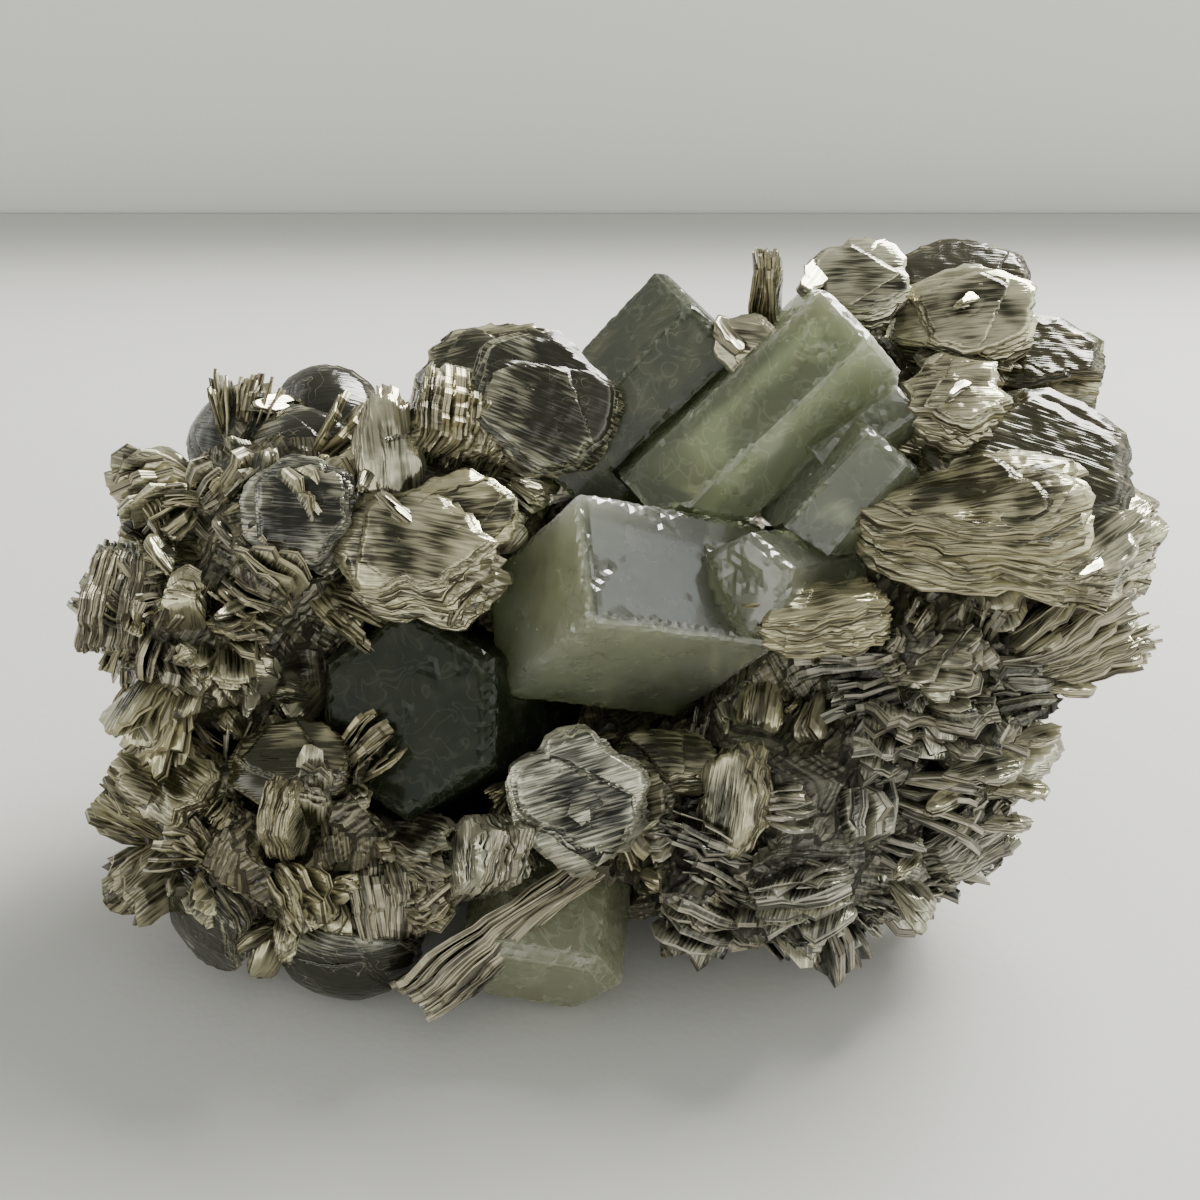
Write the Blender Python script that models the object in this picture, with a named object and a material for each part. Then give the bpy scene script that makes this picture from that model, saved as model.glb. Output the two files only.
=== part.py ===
"""Aquamarine crystals on muscovite mica: a mineral specimen that stands on its own flat base.

The mica matrix is one lumpy mass with small books of mica fused to it. The aquamarines and the
large books sit in pockets of that mass, each a solid of its own. +X is right, +Y is back, +Z is up.
"""

import math
import random

import bmesh
import bpy
from mathutils import Matrix, Vector

# Driving dimensions, in metres
LENGTH = 0.1127  # the specimen from its left rim to its right tip
LAYOUT_LENGTH = 112.7  # the same length in the layout's own millimetres
MM = LENGTH / LAYOUT_LENGTH
GAP = 0.0004  # the clearance between a piece and the pocket that it sits in
BASE_CENTRE = (1.31, -1.09, 0.0)  # the layout point that becomes the origin, in layout millimetres

# The mass under the books: centre, radii, and how far its +X end is tilted up, in degrees.
# Then how many small books grow on it, how they stand, and their half width.
LUMPS = (
    ((-34, 7, 34), (15, 16, 13), 0, 19, "rosette", 4.6),
    ((-42, -2, 28), (11, 13, 11), 0, 15, "rosette", 4.2),
    ((-31, -15, 12), (17, 14, 12.5), 0, 20, "rosette", 4.4),
    ((-16, 3, 33), (10, 12, 14), 0, 7, "rosette", 4.4),
    ((-5, -19, 13), (10, 8, 10), 0, 3, "rosette", 4.0),
    ((19, -13, 12.5), (19, 16.5, 13), 0, 25, "sheaf", 6.0),
    ((31, -4, 22), (15, 13, 12), 40, 22, "sheaf", 6.0),
    ((37, 6, 34), (16, 15, 9), 20, 14, "sheaf", 5.6),
    ((32, 15, 43), (14, 12, 11), 0, 8, "shingle", 5.4),
    ((0, 17, 19), (25, 14, 17), 0, 12, "shingle", 5.4),
    ((-3, 0, 8), (27, 22, 11), 0, 4, "rosette", 4.4),
    ((-27, 4, 22), (15, 14, 13), 0, 0, "rosette", 4.4),
    ((19, 2, 24), (15, 15, 14), 0, 0, "rosette", 4.4),
)
LUMP_ROUGHNESS = 0.07  # how far a lump's points leave its ellipsoid, as a share of its radius
FAN_HINGE = (4.0, 18.0)  # the X and Z that the sheaves' leaves fan out from
# How far out the small books sit and how thick they are, in half widths, for each way to stand
STANDS = {"rosette": (0.15, 0.4, 0.8), "sheaf": (-0.25, 0.22, 0.42), "shingle": (-0.1, 0.3, 0.5)}
LOWEST_BOOK = 6.0  # no small book is centred lower than this above the base
STEEPEST_UNDERSIDE = -0.45  # none grows where the mass faces down more than this
BOOK_SEED = 11

# Aquamarines: node, centre, (azimuth, elevation, roll) of the end face, half length,
# the distance of each side wall from the axis, and the bevel round the end.
CRYSTALS = (
    ("aquamarine_centre", (2.0, -6.6, 34.0), (52, 50, -37), 9.5, (11, 7, 11, 7), 0.5),
    ("aquamarine_centre", (17.6, -4.9, 36.4), (-38, 22, 10), 8.5, (4.8,) * 6, 0.6),
    ("aquamarine_upper", (15.0, 7.7, 47.6), (112, 38, 0), 14.0, (8.0, 6.2, 8.0) * 2, 0.8),
    ("aquamarine_upper", (23.4, 0.0, 43.5), (115, 45, 20), 7.0, (4.6,) * 6, 0.6),
    ("aquamarine_upper", (25.4, 3.5, 48.6), (110, 30, 20), 5.5, (3.0,) * 6, 0.5),
    ("aquamarine_back", (3.4, 14.2, 46.0), (112, 42, 24), 11.5, (8.4, 7.0, 8.0) * 2, 0.8),
    ("aquamarine_recess", (-16.5, -7.0, 21.0), (-25, 35, 15), 12.0, (9.5,) * 6, 1.0),
    ("aquamarine_foot", (-6.6, -24.8, 8.2), (-6, -20, 20), 7.0, (7.4, 5.8, 7.0) * 2, 1.2),
)

# Large books of mica: node, centre of the outer face, (azimuth, elevation, roll) that it faces,
# half width, half height, thickness, and how far its leaves fan open and curl, in degrees.
BOOKS = (
    ("mica_crest", (-6.0, 1.8, 53.0), (25, 38, -35), 8.0, 7.0, 3.4, 6, 14),
    ("mica_shell", (-19.8, -10.5, 43.8), (-15, 58, -5), 9.0, 5.5, 4.6, 20, 10),
    ("mica_sheaf", (-18.5, 2.6, 51.6), (-75, 22, 30), 6.5, 4.6, 6.0, 24, 8),
    ("mica_honey_book", (-14.5, -8.5, 46.0), (10, 35, 0), 5.0, 4.5, 2.6, 8, 10),
    ("mica_bright_book", (-21.5, -2.0, 48.0), (30, 30, 80), 7.5, 3.4, 2.8, 6, 16),
    ("mica_grey_book", (-30.5, -6.0, 46.0), (-10, 48, 0), 6.0, 5.5, 4.4, 10, 18),
    ("mica_rear_dome", (-41.0, 12.0, 45.0), (-25, 50, 0), 5.8, 5.5, 7.0, 8, 34),
    ("mica_far_dome", (-30.5, 14.5, 46.8), (5, 60, 0), 6.0, 4.8, 5.5, 8, 34),
    ("mica_near_dome", (-32.3, 6.0, 45.8), (5, 52, 0), 5.6, 4.8, 4.6, 8, 30),
    ("mica_rim_book", (-53.4, -4.0, 34.0), (-80, 15, 0), 6.5, 5.5, 5.6, 14, 12),
    ("mica_brown_book", (-32.0, -19.5, 25.0), (0, 58, 0), 6.0, 4.5, 3.4, 8, 16),
    ("mica_left_fan", (-43.5, -18.0, 21.0), (-40, 50, 0), 5.5, 4.5, 4.4, 22, 8),
    ("mica_upright_slab", (-30.5, -26.0, 22.0), (75, 0, 10), 3.0, 4.8, 2.6, 4, 4),
    ("mica_bottom_book", (-26.8, -29.8, 5.6), (-5, -4, 0), 7.5, 4.8, 5.0, 6, 26),
    ("mica_corner_book", (-41.5, -25.5, 9.0), (-40, 5, 0), 6.0, 5.2, 4.5, 10, 18),
    ("mica_slant_book", (-15.4, -26.5, 17.5), (-60, 20, -40), 3.8, 7.2, 4.2, 10, 6),
    ("mica_front_plate", (-3.2, -24.2, 23.4), (10, 35, 10), 6.6, 7.2, 3.4, 6, 12),
    ("mica_top_scale", (36.5, 20.0, 58.5), (10, 66, -15), 7.0, 5.0, 3.2, 8, 18),
    ("mica_pale_scale", (36.8, 13.5, 57.2), (-5, 60, 5), 7.6, 5.2, 4.6, 14, 16),
    ("mica_amber_scale", (45.2, 14.2, 51.2), (20, 62, -22), 7.5, 5.6, 4.0, 12, 16),
    ("mica_glint_book", (34.2, 4.2, 52.3), (20, 66, -20), 5.2, 5.0, 5.4, 26, 10),
    ("mica_window_plate", (42.8, 2.5, 47.0), (15, 58, -30), 11.5, 8.0, 3.6, 5, 8),
    ("mica_wave_book", (36.6, -4.4, 45.4), (5, 84, -5), 11.0, 6.5, 5.6, 16, 10),
    ("mica_tip_book", (48.0, -2.6, 41.0), (25, 80, 6), 7.5, 6.5, 4.6, 20, 8),
    ("mica_feather_book", (20.0, -12.0, 37.8), (5, 84, 0), 7.2, 3.6, 2.4, 12, 6),
    ("mica_disc", (13.3, 8.7, 56.2), (-20, 30, 0), 3.3, 3.2, 2.4, 0, 8),
    ("mica_standing_blade", (16.8, 14.4, 59.2), (80, 0, 10), 2.2, 5.6, 2.4, 10, 0),
    ("mica_pale_leaf", (25.6, 17.0, 59.7), (-5, 58, 0), 5.5, 4.6, 3.0, 6, 10),
    ("mica_rear_fan", (-14.0, 21.0, 47.5), (-10, 62, 10), 7.0, 5.0, 4.6, 18, 12),
    ("mica_broom_book", (46.1, -4.6, 30.9), (-125, 60, 136), 8.6, 5.0, 3.2, 30, 4),
    ("mica_flank_sheet", (39.8, -13.2, 21.8), (67, 66, -46), 6.6, 4.6, 3.4, 8, 8),
    ("mica_ridge_book", (34.0, -17.7, 16.1), (-103, 62, 118), 6.0, 4.5, 4.5, 14, 6),
    ("mica_striated_book", (-25.9, -25.3, 12.2), (-75, 5, 125), 5.2, 4.2, 8.5, 6, 4),
    ("mica_lip_blade", (-9.7, -29.3, 9.5), (44, -31, -145), 12.0, 3.5, 2.6, 8, 3),
    ("mica_hanging_leaf", (11.5, -24.0, 23.3), (-38, 35, 102), 5.8, 3.4, 2.6, 6, 8),
    ("mica_green_leaf", (5.3, -17.5, 23.5), (-29, 71, 15), 5.6, 3.3, 2.6, 10, 8),
)
BOOK_SIDES = 9
LEAVES = 2  # the ledges down a large book's edge
LEDGE = 0.07  # how far one ledge stands out past the next, as a share of the half width


def facing(azimuth, elevation, roll):
    """Axes of a face: across it, up it and out of it. Azimuth 0 faces the front, 90 the right."""
    a, e, r = (math.radians(x) for x in (azimuth, elevation, roll))
    out = Vector((math.sin(a) * math.cos(e), -math.cos(a) * math.cos(e), math.sin(e)))
    across = Vector((math.cos(a), math.sin(a), 0))
    up = out.cross(across)
    turned = math.cos(r) * across + math.sin(r) * up
    return turned, out.cross(turned), out


def placed(centre, axes):
    """The matrix that puts a shape made at the origin, in metres, at a place in the layout."""
    spot = (Vector(centre) - Vector(BASE_CENTRE)) * MM
    across, up, out = axes
    turn = Matrix((across, up, out)).transposed().to_4x4()
    return Matrix.Translation(spot) @ turn


def clear_scene():
    for obj in list(bpy.data.objects):
        bpy.data.objects.remove(obj)


def collection(name, hidden=False):
    made = bpy.data.collections.new(name)
    bpy.context.scene.collection.children.link(made)
    made.hide_render = hidden
    return made


def add_object(name, bm, group, hidden=False):
    """Turns a bmesh into an object with its faces pointing out."""
    bmesh.ops.triangulate(bm, faces=bm.faces)
    bmesh.ops.recalc_face_normals(bm, faces=bm.faces)
    mesh = bpy.data.meshes.new(name)
    bm.to_mesh(mesh)
    bm.free()
    obj = bpy.data.objects.new(name, mesh)
    group.objects.link(obj)
    if hidden:
        obj.hide_render = True
        obj.display_type = "WIRE"
    return obj


def material(name, colour, roughness, metallic=0.0):
    made = bpy.data.materials.new(name)
    made.use_nodes = True
    shader = made.node_tree.nodes["Principled BSDF"]
    shader.inputs["Base Color"].default_value = (*colour, 1)
    shader.inputs["Roughness"].default_value = roughness
    shader.inputs["Metallic"].default_value = metallic
    return made


def freeze(obj):
    """Gives the object the mesh that its modifiers make, and keeps the largest body of it."""
    graph = bpy.context.evaluated_depsgraph_get()
    mesh = bpy.data.meshes.new_from_object(obj.evaluated_get(graph))
    obj.modifiers.clear()
    obj.data = mesh
    bm = bmesh.new()
    bm.from_mesh(mesh)
    unseen, bodies = set(bm.faces), []
    while unseen:
        body, front = [], [unseen.pop()]
        while front:
            face = front.pop()
            body.append(face)
            for edge in face.edges:
                for near in edge.link_faces:
                    if near in unseen:
                        unseen.remove(near)
                        front.append(near)
        bodies.append(body)
    bodies.sort(key=lambda body: sum(face.calc_area() for face in body))
    bmesh.ops.delete(bm, geom=[face for body in bodies[:-1] for face in body], context="FACES")
    bmesh.ops.triangulate(bm, faces=bm.faces)
    bm.to_mesh(mesh)
    bm.free()


def combine(obj, other, operation):
    """Joins, or cuts away, one object or a collection of them."""
    modifier = obj.modifiers.new(operation.lower(), "BOOLEAN")
    modifier.operation = operation
    if isinstance(other, bpy.types.Collection):
        modifier.operand_type = "COLLECTION"
        modifier.collection = other
    else:
        modifier.object = other
    freeze(obj)


def crystal_body(centre, turn, half_length, walls, bevel, grown=0.0):
    """A prism cut by flat walls, as a crystal grows; grown moves every wall out, for a pocket."""
    bm = bmesh.new()
    bmesh.ops.create_cube(bm, size=8 * half_length * MM)
    planes = [(Vector((0, 0, side)), half_length) for side in (1, -1)]
    for i, distance in enumerate(walls):
        angle = 2 * math.pi * i / len(walls)
        outward = Vector((math.cos(angle), math.sin(angle), 0))
        planes.append((outward, distance))
        slope = (outward + Vector((0, 0, 1))).normalized()
        planes.append((slope, (distance + half_length - bevel) / math.sqrt(2)))
        if len(walls) == 4:
            beside = walls[(i + 1) % 4]
            angle += math.pi / 4
            corner = Vector((math.cos(angle), math.sin(angle), 0))
            planes.append((corner, (distance + beside) / math.sqrt(2) - bevel))
    for outward, distance in planes:
        bmesh.ops.bisect_plane(
            bm,
            geom=[*bm.verts, *bm.edges, *bm.faces],
            plane_co=outward * (distance * MM + grown),
            plane_no=outward,
            clear_outer=True,
        )
        rim = [edge for edge in bm.edges if edge.is_boundary]
        if rim:
            bmesh.ops.contextual_create(bm, geom=rim)
    bmesh.ops.delete(bm, geom=bm.edges[:] + bm.faces[:], context="EDGES_FACES")
    bmesh.ops.remove_doubles(bm, verts=bm.verts, dist=0.0001)
    bmesh.ops.convex_hull(bm, input=bm.verts)
    bmesh.ops.transform(bm, matrix=placed(centre, facing(*turn)), verts=bm.verts)
    return bm


def outline(sides, across, up, draw):
    """A rounded six-sided plate's rim, with the small steps of a real one."""
    points = []
    for i in range(sides):
        angle = 2 * math.pi * i / sides
        reach = 1 + 0.06 * math.cos(6 * angle) + draw.uniform(-0.05, 0.05)
        points.append(Vector((across * reach * math.cos(angle), up * reach * math.sin(angle), 0)))
    return points


def book_body(name, centre, axes, across, up, thick, fan=0.0, curl=0.0, leaves=1,
              sides=BOOK_SIDES, grown=0.0):
    """A stack of mica leaves: a plate with ledges down its edge, fanned open and curled."""
    draw = random.Random(name)
    bm = bmesh.new()
    rim = outline(sides, across, up, draw)
    made = bmesh.ops.create_circle(bm, cap_ends=True, segments=sides, radius=1)
    for vert, point in zip(made["verts"], rim):
        vert.co = point
    steps = []
    for leaf in range(leaves):
        size = 1 - LEDGE * draw.uniform(0.2, 1.0) * leaf
        steps += [(leaf / leaves, size), ((leaf + 1) / leaves, size)]
    if grown:
        steps = [(0, 1), (1, 1)]
    margin = grown / (across * MM)
    top = bm.faces[:][0]
    levels = [(top.verts[:], steps[0])]
    for before, after in zip(steps, steps[1:]):
        raised = bmesh.ops.extrude_face_region(bm, geom=[top])
        if len(levels) > 1:
            bmesh.ops.delete(bm, geom=[top], context="FACES_ONLY")
        top = next(item for item in raised["geom"] if isinstance(item, bmesh.types.BMFace))
        levels.append((top.verts[:], after))
        for vert in top.verts:
            vert.co.x *= after[1] / before[1]
            vert.co.y *= after[1] / before[1]
            vert.co.z = after[0] * thick
    bend = math.radians(curl) / (2 * across)
    for verts, (height, _) in levels:
        open_by = math.radians(fan) * (0.5 - height)
        for vert in verts:
            x, y = vert.co.x * (1 + margin), vert.co.y * (1 + margin)
            depth = (height - 1) * thick
            depth += (-grown if height < 0.5 else grown) / MM
            depth += -(x + across) * math.sin(open_by) - bend * (x * x + y * y)
            vert.co = Vector((x, y, depth))
    bmesh.ops.scale(bm, vec=(MM, MM, MM), verts=bm.verts)
    bmesh.ops.transform(bm, matrix=placed(centre, axes), verts=bm.verts)
    return bm


def in_lump(point, lump, swell=1.0):
    centre, radii, tilt = lump[:3]
    local = Matrix.Rotation(math.radians(tilt), 3, "Y") @ (point - Vector(centre))
    return sum((local[k] / (radii[k] * swell)) ** 2 for k in range(3)) < 1


def grown_books():
    """Places for the small books on the lumps: name, centre, axes, half width, half height, thickness."""
    draw = random.Random(BOOK_SEED)
    for number, lump in enumerate(LUMPS):
        centre, radii, tilt, count, stand, size = lump
        turn = Matrix.Rotation(math.radians(-tilt), 3, "Y")
        for i in range(count):
            height = 1 - 2 * (i + 0.5) / count
            swing = 2.399963 * i + draw.uniform(-0.5, 0.5)
            ring = math.sqrt(1 - height * height)
            unit = Vector((ring * math.cos(swing), ring * math.sin(swing), height))
            spot = Vector(centre) + turn @ Vector(unit[k] * radii[k] for k in range(3))
            outward = (turn @ Vector(unit[k] / radii[k] for k in range(3))).normalized()
            stray = Vector(draw.uniform(-1, 1) for _ in range(3))
            seat, thinnest, thickest = STANDS[stand]
            width, height = size * draw.uniform(0.8, 1.25), size * draw.uniform(0.6, 0.9)
            thick = size * draw.uniform(thinnest, thickest)
            if stand == "rosette":
                out = (outward.cross(stray).normalized() + 0.45 * outward).normalized()
            elif stand == "sheaf":
                lift = math.atan2(spot.z - FAN_HINGE[1], spot.x - FAN_HINGE[0])
                out = (Vector((-math.sin(lift), -0.25, math.cos(lift))) + 0.25 * stray).normalized()
            else:
                out = (0.7 * outward + Vector((0, 0, 0.45)) + 0.25 * stray).normalized()
            hidden = any(in_lump(spot, other, 1.02) for other in LUMPS if other is not lump)
            if hidden or spot.z < LOWEST_BOOK or outward.z < STEEPEST_UNDERSIDE:
                continue
            across = (outward - outward.dot(out) * out).normalized()
            spot += seat * size * outward
            yield f"book_{number}_{i}", spot, (across, out.cross(across), out), width, height, thick


def lump_body(number, lump):
    """One rough, rounded lump of the mass."""
    centre, radii, tilt = lump[:3]
    draw = random.Random(number)
    bm = bmesh.new()
    bmesh.ops.create_icosphere(bm, subdivisions=2, radius=1)
    for vert in bm.verts:
        vert.co *= 1 + draw.uniform(-LUMP_ROUGHNESS, LUMP_ROUGHNESS)
    bmesh.ops.scale(bm, vec=Vector(radii) * MM, verts=bm.verts)
    across, up, out = Matrix.Rotation(math.radians(tilt), 3, "Y")
    bmesh.ops.transform(bm, matrix=placed(centre, (across, up, out)), verts=bm.verts)
    return bm


def base_cutter(group):
    """Everything below the flat base."""
    bm = bmesh.new()
    size = 2 * LENGTH
    bmesh.ops.create_cube(bm, size=size)
    bmesh.ops.translate(bm, vec=(0, 0, -size / 2), verts=bm.verts)
    return add_object("below_base", bm, group, hidden=True)


def make_crystals(specimen, pockets, finish):
    """The aquamarines, each cut back from the ones before it, and the cutters of their pockets."""
    cutters = []
    for name in dict.fromkeys(row[0] for row in CRYSTALS):
        shapes = [row[1:] for row in CRYSTALS if row[0] == name]
        piece = add_object(name, crystal_body(*shapes[0]), specimen)
        for shape in shapes[1:]:
            grown_beside = add_object("beside", crystal_body(*shape), pockets, hidden=True)
            combine(piece, grown_beside, "UNION")
            bpy.data.objects.remove(grown_beside)
        piece.data.materials.clear()
        piece.data.materials.append(finish)
        for cutter in cutters:
            if near(piece, cutter):
                combine(piece, cutter, "DIFFERENCE")
        for number, shape in enumerate(shapes):
            pocket = crystal_body(*shape, grown=GAP)
            cutters.append(add_object(f"{name}_pocket_{number}", pocket, pockets, hidden=True))
    return cutters


def make_books(specimen, pockets, cutters, finish):
    """The large books, each cut back from the crystals and from the books before it."""
    for name, centre, turn, across, up, thick, fan, curl in BOOKS:
        shape = (name, centre, facing(*turn), across, up, thick, fan, curl)
        piece = add_object(name, book_body(*shape, leaves=LEAVES), specimen)
        piece.data.materials.append(finish)
        for cutter in cutters:
            if near(piece, cutter):
                combine(piece, cutter, "DIFFERENCE")
        pocket = book_body(*shape, grown=GAP)
        cutters.append(add_object(name + "_pocket", pocket, pockets, hidden=True))


def near(first, second):
    """Whether two objects' boxes meet."""
    boxes = []
    for obj in (first, second):
        points = [vert.co for vert in obj.data.vertices]
        boxes.append([(min(p[k] for p in points), max(p[k] for p in points)) for k in range(3)])
    return all(a[0] < b[1] and b[0] < a[1] for a, b in zip(*boxes))


def make_matrix(specimen, helpers, cutters, finish):
    """The mass of mica with its small books, cut flat below and cut out for what sits in it."""
    additions = collection("matrix additions", hidden=True)
    for number, lump in enumerate(LUMPS[1:], 1):
        add_object(f"lump_{number}", lump_body(number, lump), additions, hidden=True)
    for name, centre, axes, across, up, thick in grown_books():
        body = book_body(name, centre, axes, across, up, thick, curl=10, sides=6)
        add_object(name, body, additions, hidden=True)
    mass = add_object("mica_matrix", lump_body(0, LUMPS[0]), specimen)
    combine(mass, additions, "UNION")
    combine(mass, base_cutter(helpers), "DIFFERENCE")
    for cutter in cutters:
        combine(mass, cutter, "DIFFERENCE")
    mass.data.materials.clear()
    mass.data.materials.append(finish)


def main():
    clear_scene()
    specimen = collection("aquamarine specimen")
    helpers = collection("cutters", hidden=True)
    aquamarine = material("aquamarine", (0.55, 0.63, 0.54), 0.12)
    book_mica = material("book mica", (0.42, 0.37, 0.27), 0.3, 0.2)
    matrix_mica = material("matrix mica", (0.33, 0.30, 0.26), 0.45, 0.1)
    cutters = make_crystals(specimen, helpers, aquamarine)
    make_books(specimen, helpers, cutters, book_mica)
    make_matrix(specimen, helpers, cutters, matrix_mica)


main()
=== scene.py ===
"""Looks of an aquamarine cluster on muscovite mica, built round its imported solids.

Places and sizes are in the layout millimetres of the part's own tables. +X is right, +Y is back
and +Z is up. Every piece is turned into metres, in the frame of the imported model, when it is made.
"""

import math
import random

import bmesh
import bpy
import numpy as np
from mathutils import Matrix, Vector, kdtree, noise
from mathutils.geometry import delaunay_2d_cdt


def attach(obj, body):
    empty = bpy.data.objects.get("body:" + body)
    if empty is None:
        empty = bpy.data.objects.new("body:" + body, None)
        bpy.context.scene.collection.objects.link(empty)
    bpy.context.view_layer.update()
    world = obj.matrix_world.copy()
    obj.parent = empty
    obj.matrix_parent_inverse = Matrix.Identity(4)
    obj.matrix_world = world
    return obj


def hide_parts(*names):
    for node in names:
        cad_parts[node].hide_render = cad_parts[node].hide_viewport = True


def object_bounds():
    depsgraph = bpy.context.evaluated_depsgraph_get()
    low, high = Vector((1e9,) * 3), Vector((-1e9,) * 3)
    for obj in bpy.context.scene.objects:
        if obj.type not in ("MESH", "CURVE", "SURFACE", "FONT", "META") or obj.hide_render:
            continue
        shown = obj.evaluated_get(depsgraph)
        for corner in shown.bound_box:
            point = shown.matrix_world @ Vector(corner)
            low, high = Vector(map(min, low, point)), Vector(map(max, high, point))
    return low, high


bl_info = {
    "name": "Aquamarine Specimen",
    "version": (1, 0, 0),
    "blender": (4, 5, 0),
    "location": "View3D > Sidebar > Specimen",
    "description": "Dresses an aquamarine cluster with clear crystals and books of mica",
    "category": "Add Mesh",
}

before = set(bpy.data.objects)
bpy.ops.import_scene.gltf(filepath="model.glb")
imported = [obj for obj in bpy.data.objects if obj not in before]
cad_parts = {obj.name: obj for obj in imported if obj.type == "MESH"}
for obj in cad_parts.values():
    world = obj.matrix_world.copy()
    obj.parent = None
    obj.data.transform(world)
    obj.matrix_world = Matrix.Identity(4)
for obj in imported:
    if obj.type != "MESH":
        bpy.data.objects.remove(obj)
CAD_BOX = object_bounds()

MM = 0.001
BASE_CENTRE = Vector((1.31, -1.09, 0.0))  # the layout point at the frame's origin
ROOT = "root"

# The mass under the books: centre, radii, tilt, then how many small books grow on it, how they
# stand and their half width. These rows are the part's own.
LUMPS = (
    ((-34, 7, 34), (15, 16, 13), 0, 19, "rosette", 4.6),
    ((-42, -2, 28), (11, 13, 11), 0, 15, "rosette", 4.2),
    ((-31, -15, 12), (17, 14, 12.5), 0, 20, "rosette", 4.4),
    ((-16, 3, 33), (10, 12, 14), 0, 7, "rosette", 4.4),
    ((-5, -19, 13), (10, 8, 10), 0, 3, "rosette", 4.0),
    ((19, -13, 12.5), (19, 16.5, 13), 0, 25, "sheaf", 6.0),
    ((31, -4, 22), (15, 13, 12), 40, 22, "sheaf", 6.0),
    ((37, 6, 34), (16, 15, 9), 20, 14, "sheaf", 5.6),
    ((32, 15, 43), (14, 12, 11), 0, 8, "shingle", 5.4),
    ((0, 17, 19), (25, 14, 17), 0, 12, "shingle", 5.4),
    ((-3, 0, 8), (27, 22, 11), 0, 4, "rosette", 4.4),
    ((-27, 4, 22), (15, 14, 13), 0, 0, "rosette", 4.4),
    ((19, 2, 24), (15, 15, 14), 0, 0, "rosette", 4.4),
)
STANDS = {"rosette": (0.15, 0.4, 0.8), "sheaf": (-0.25, 0.22, 0.42), "shingle": (-0.1, 0.3, 0.5)}
STICK_OUT = {"rosette": (0.4, 3.4), "sheaf": (-1.0, 2.0), "shingle": (0.6, 3.0)}
FAN_HINGE = (4.0, 18.0)
LOWEST_BOOK = 6.0
STEEPEST_UNDERSIDE = -0.45
BOOK_SEED = 11
GOLDEN_ANGLE = 2.399963  # radians

# Aquamarines: node, centre, (azimuth, elevation, roll), half length and the walls' distances.
CRYSTALS = (
    ("aquamarine_centre", (2.0, -6.6, 34.0), (52, 50, -37), 9.5, (11, 7, 11, 7)),
    ("aquamarine_centre", (17.6, -4.9, 36.4), (-38, 22, 10), 8.5, (4.8,) * 6),
    ("aquamarine_upper", (15.0, 7.7, 47.6), (112, 38, 0), 14.0, (8.0, 6.2, 8.0) * 2),
    ("aquamarine_upper", (23.4, 0.0, 43.5), (115, 45, 20), 7.0, (4.6,) * 6),
    ("aquamarine_upper", (25.4, 3.5, 48.6), (110, 30, 20), 5.5, (3.0,) * 6),
    ("aquamarine_back", (3.4, 14.2, 46.0), (112, 42, 24), 11.5, (8.4, 7.0, 8.0) * 2),
    ("aquamarine_recess", (-16.5, -7.0, 21.0), (-25, 35, 15), 12.0, (9.5,) * 6),
    ("aquamarine_foot", (-6.6, -24.8, 8.2), (-6, -20, 20), 7.0, (7.4, 5.8, 7.0) * 2),
)

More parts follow.
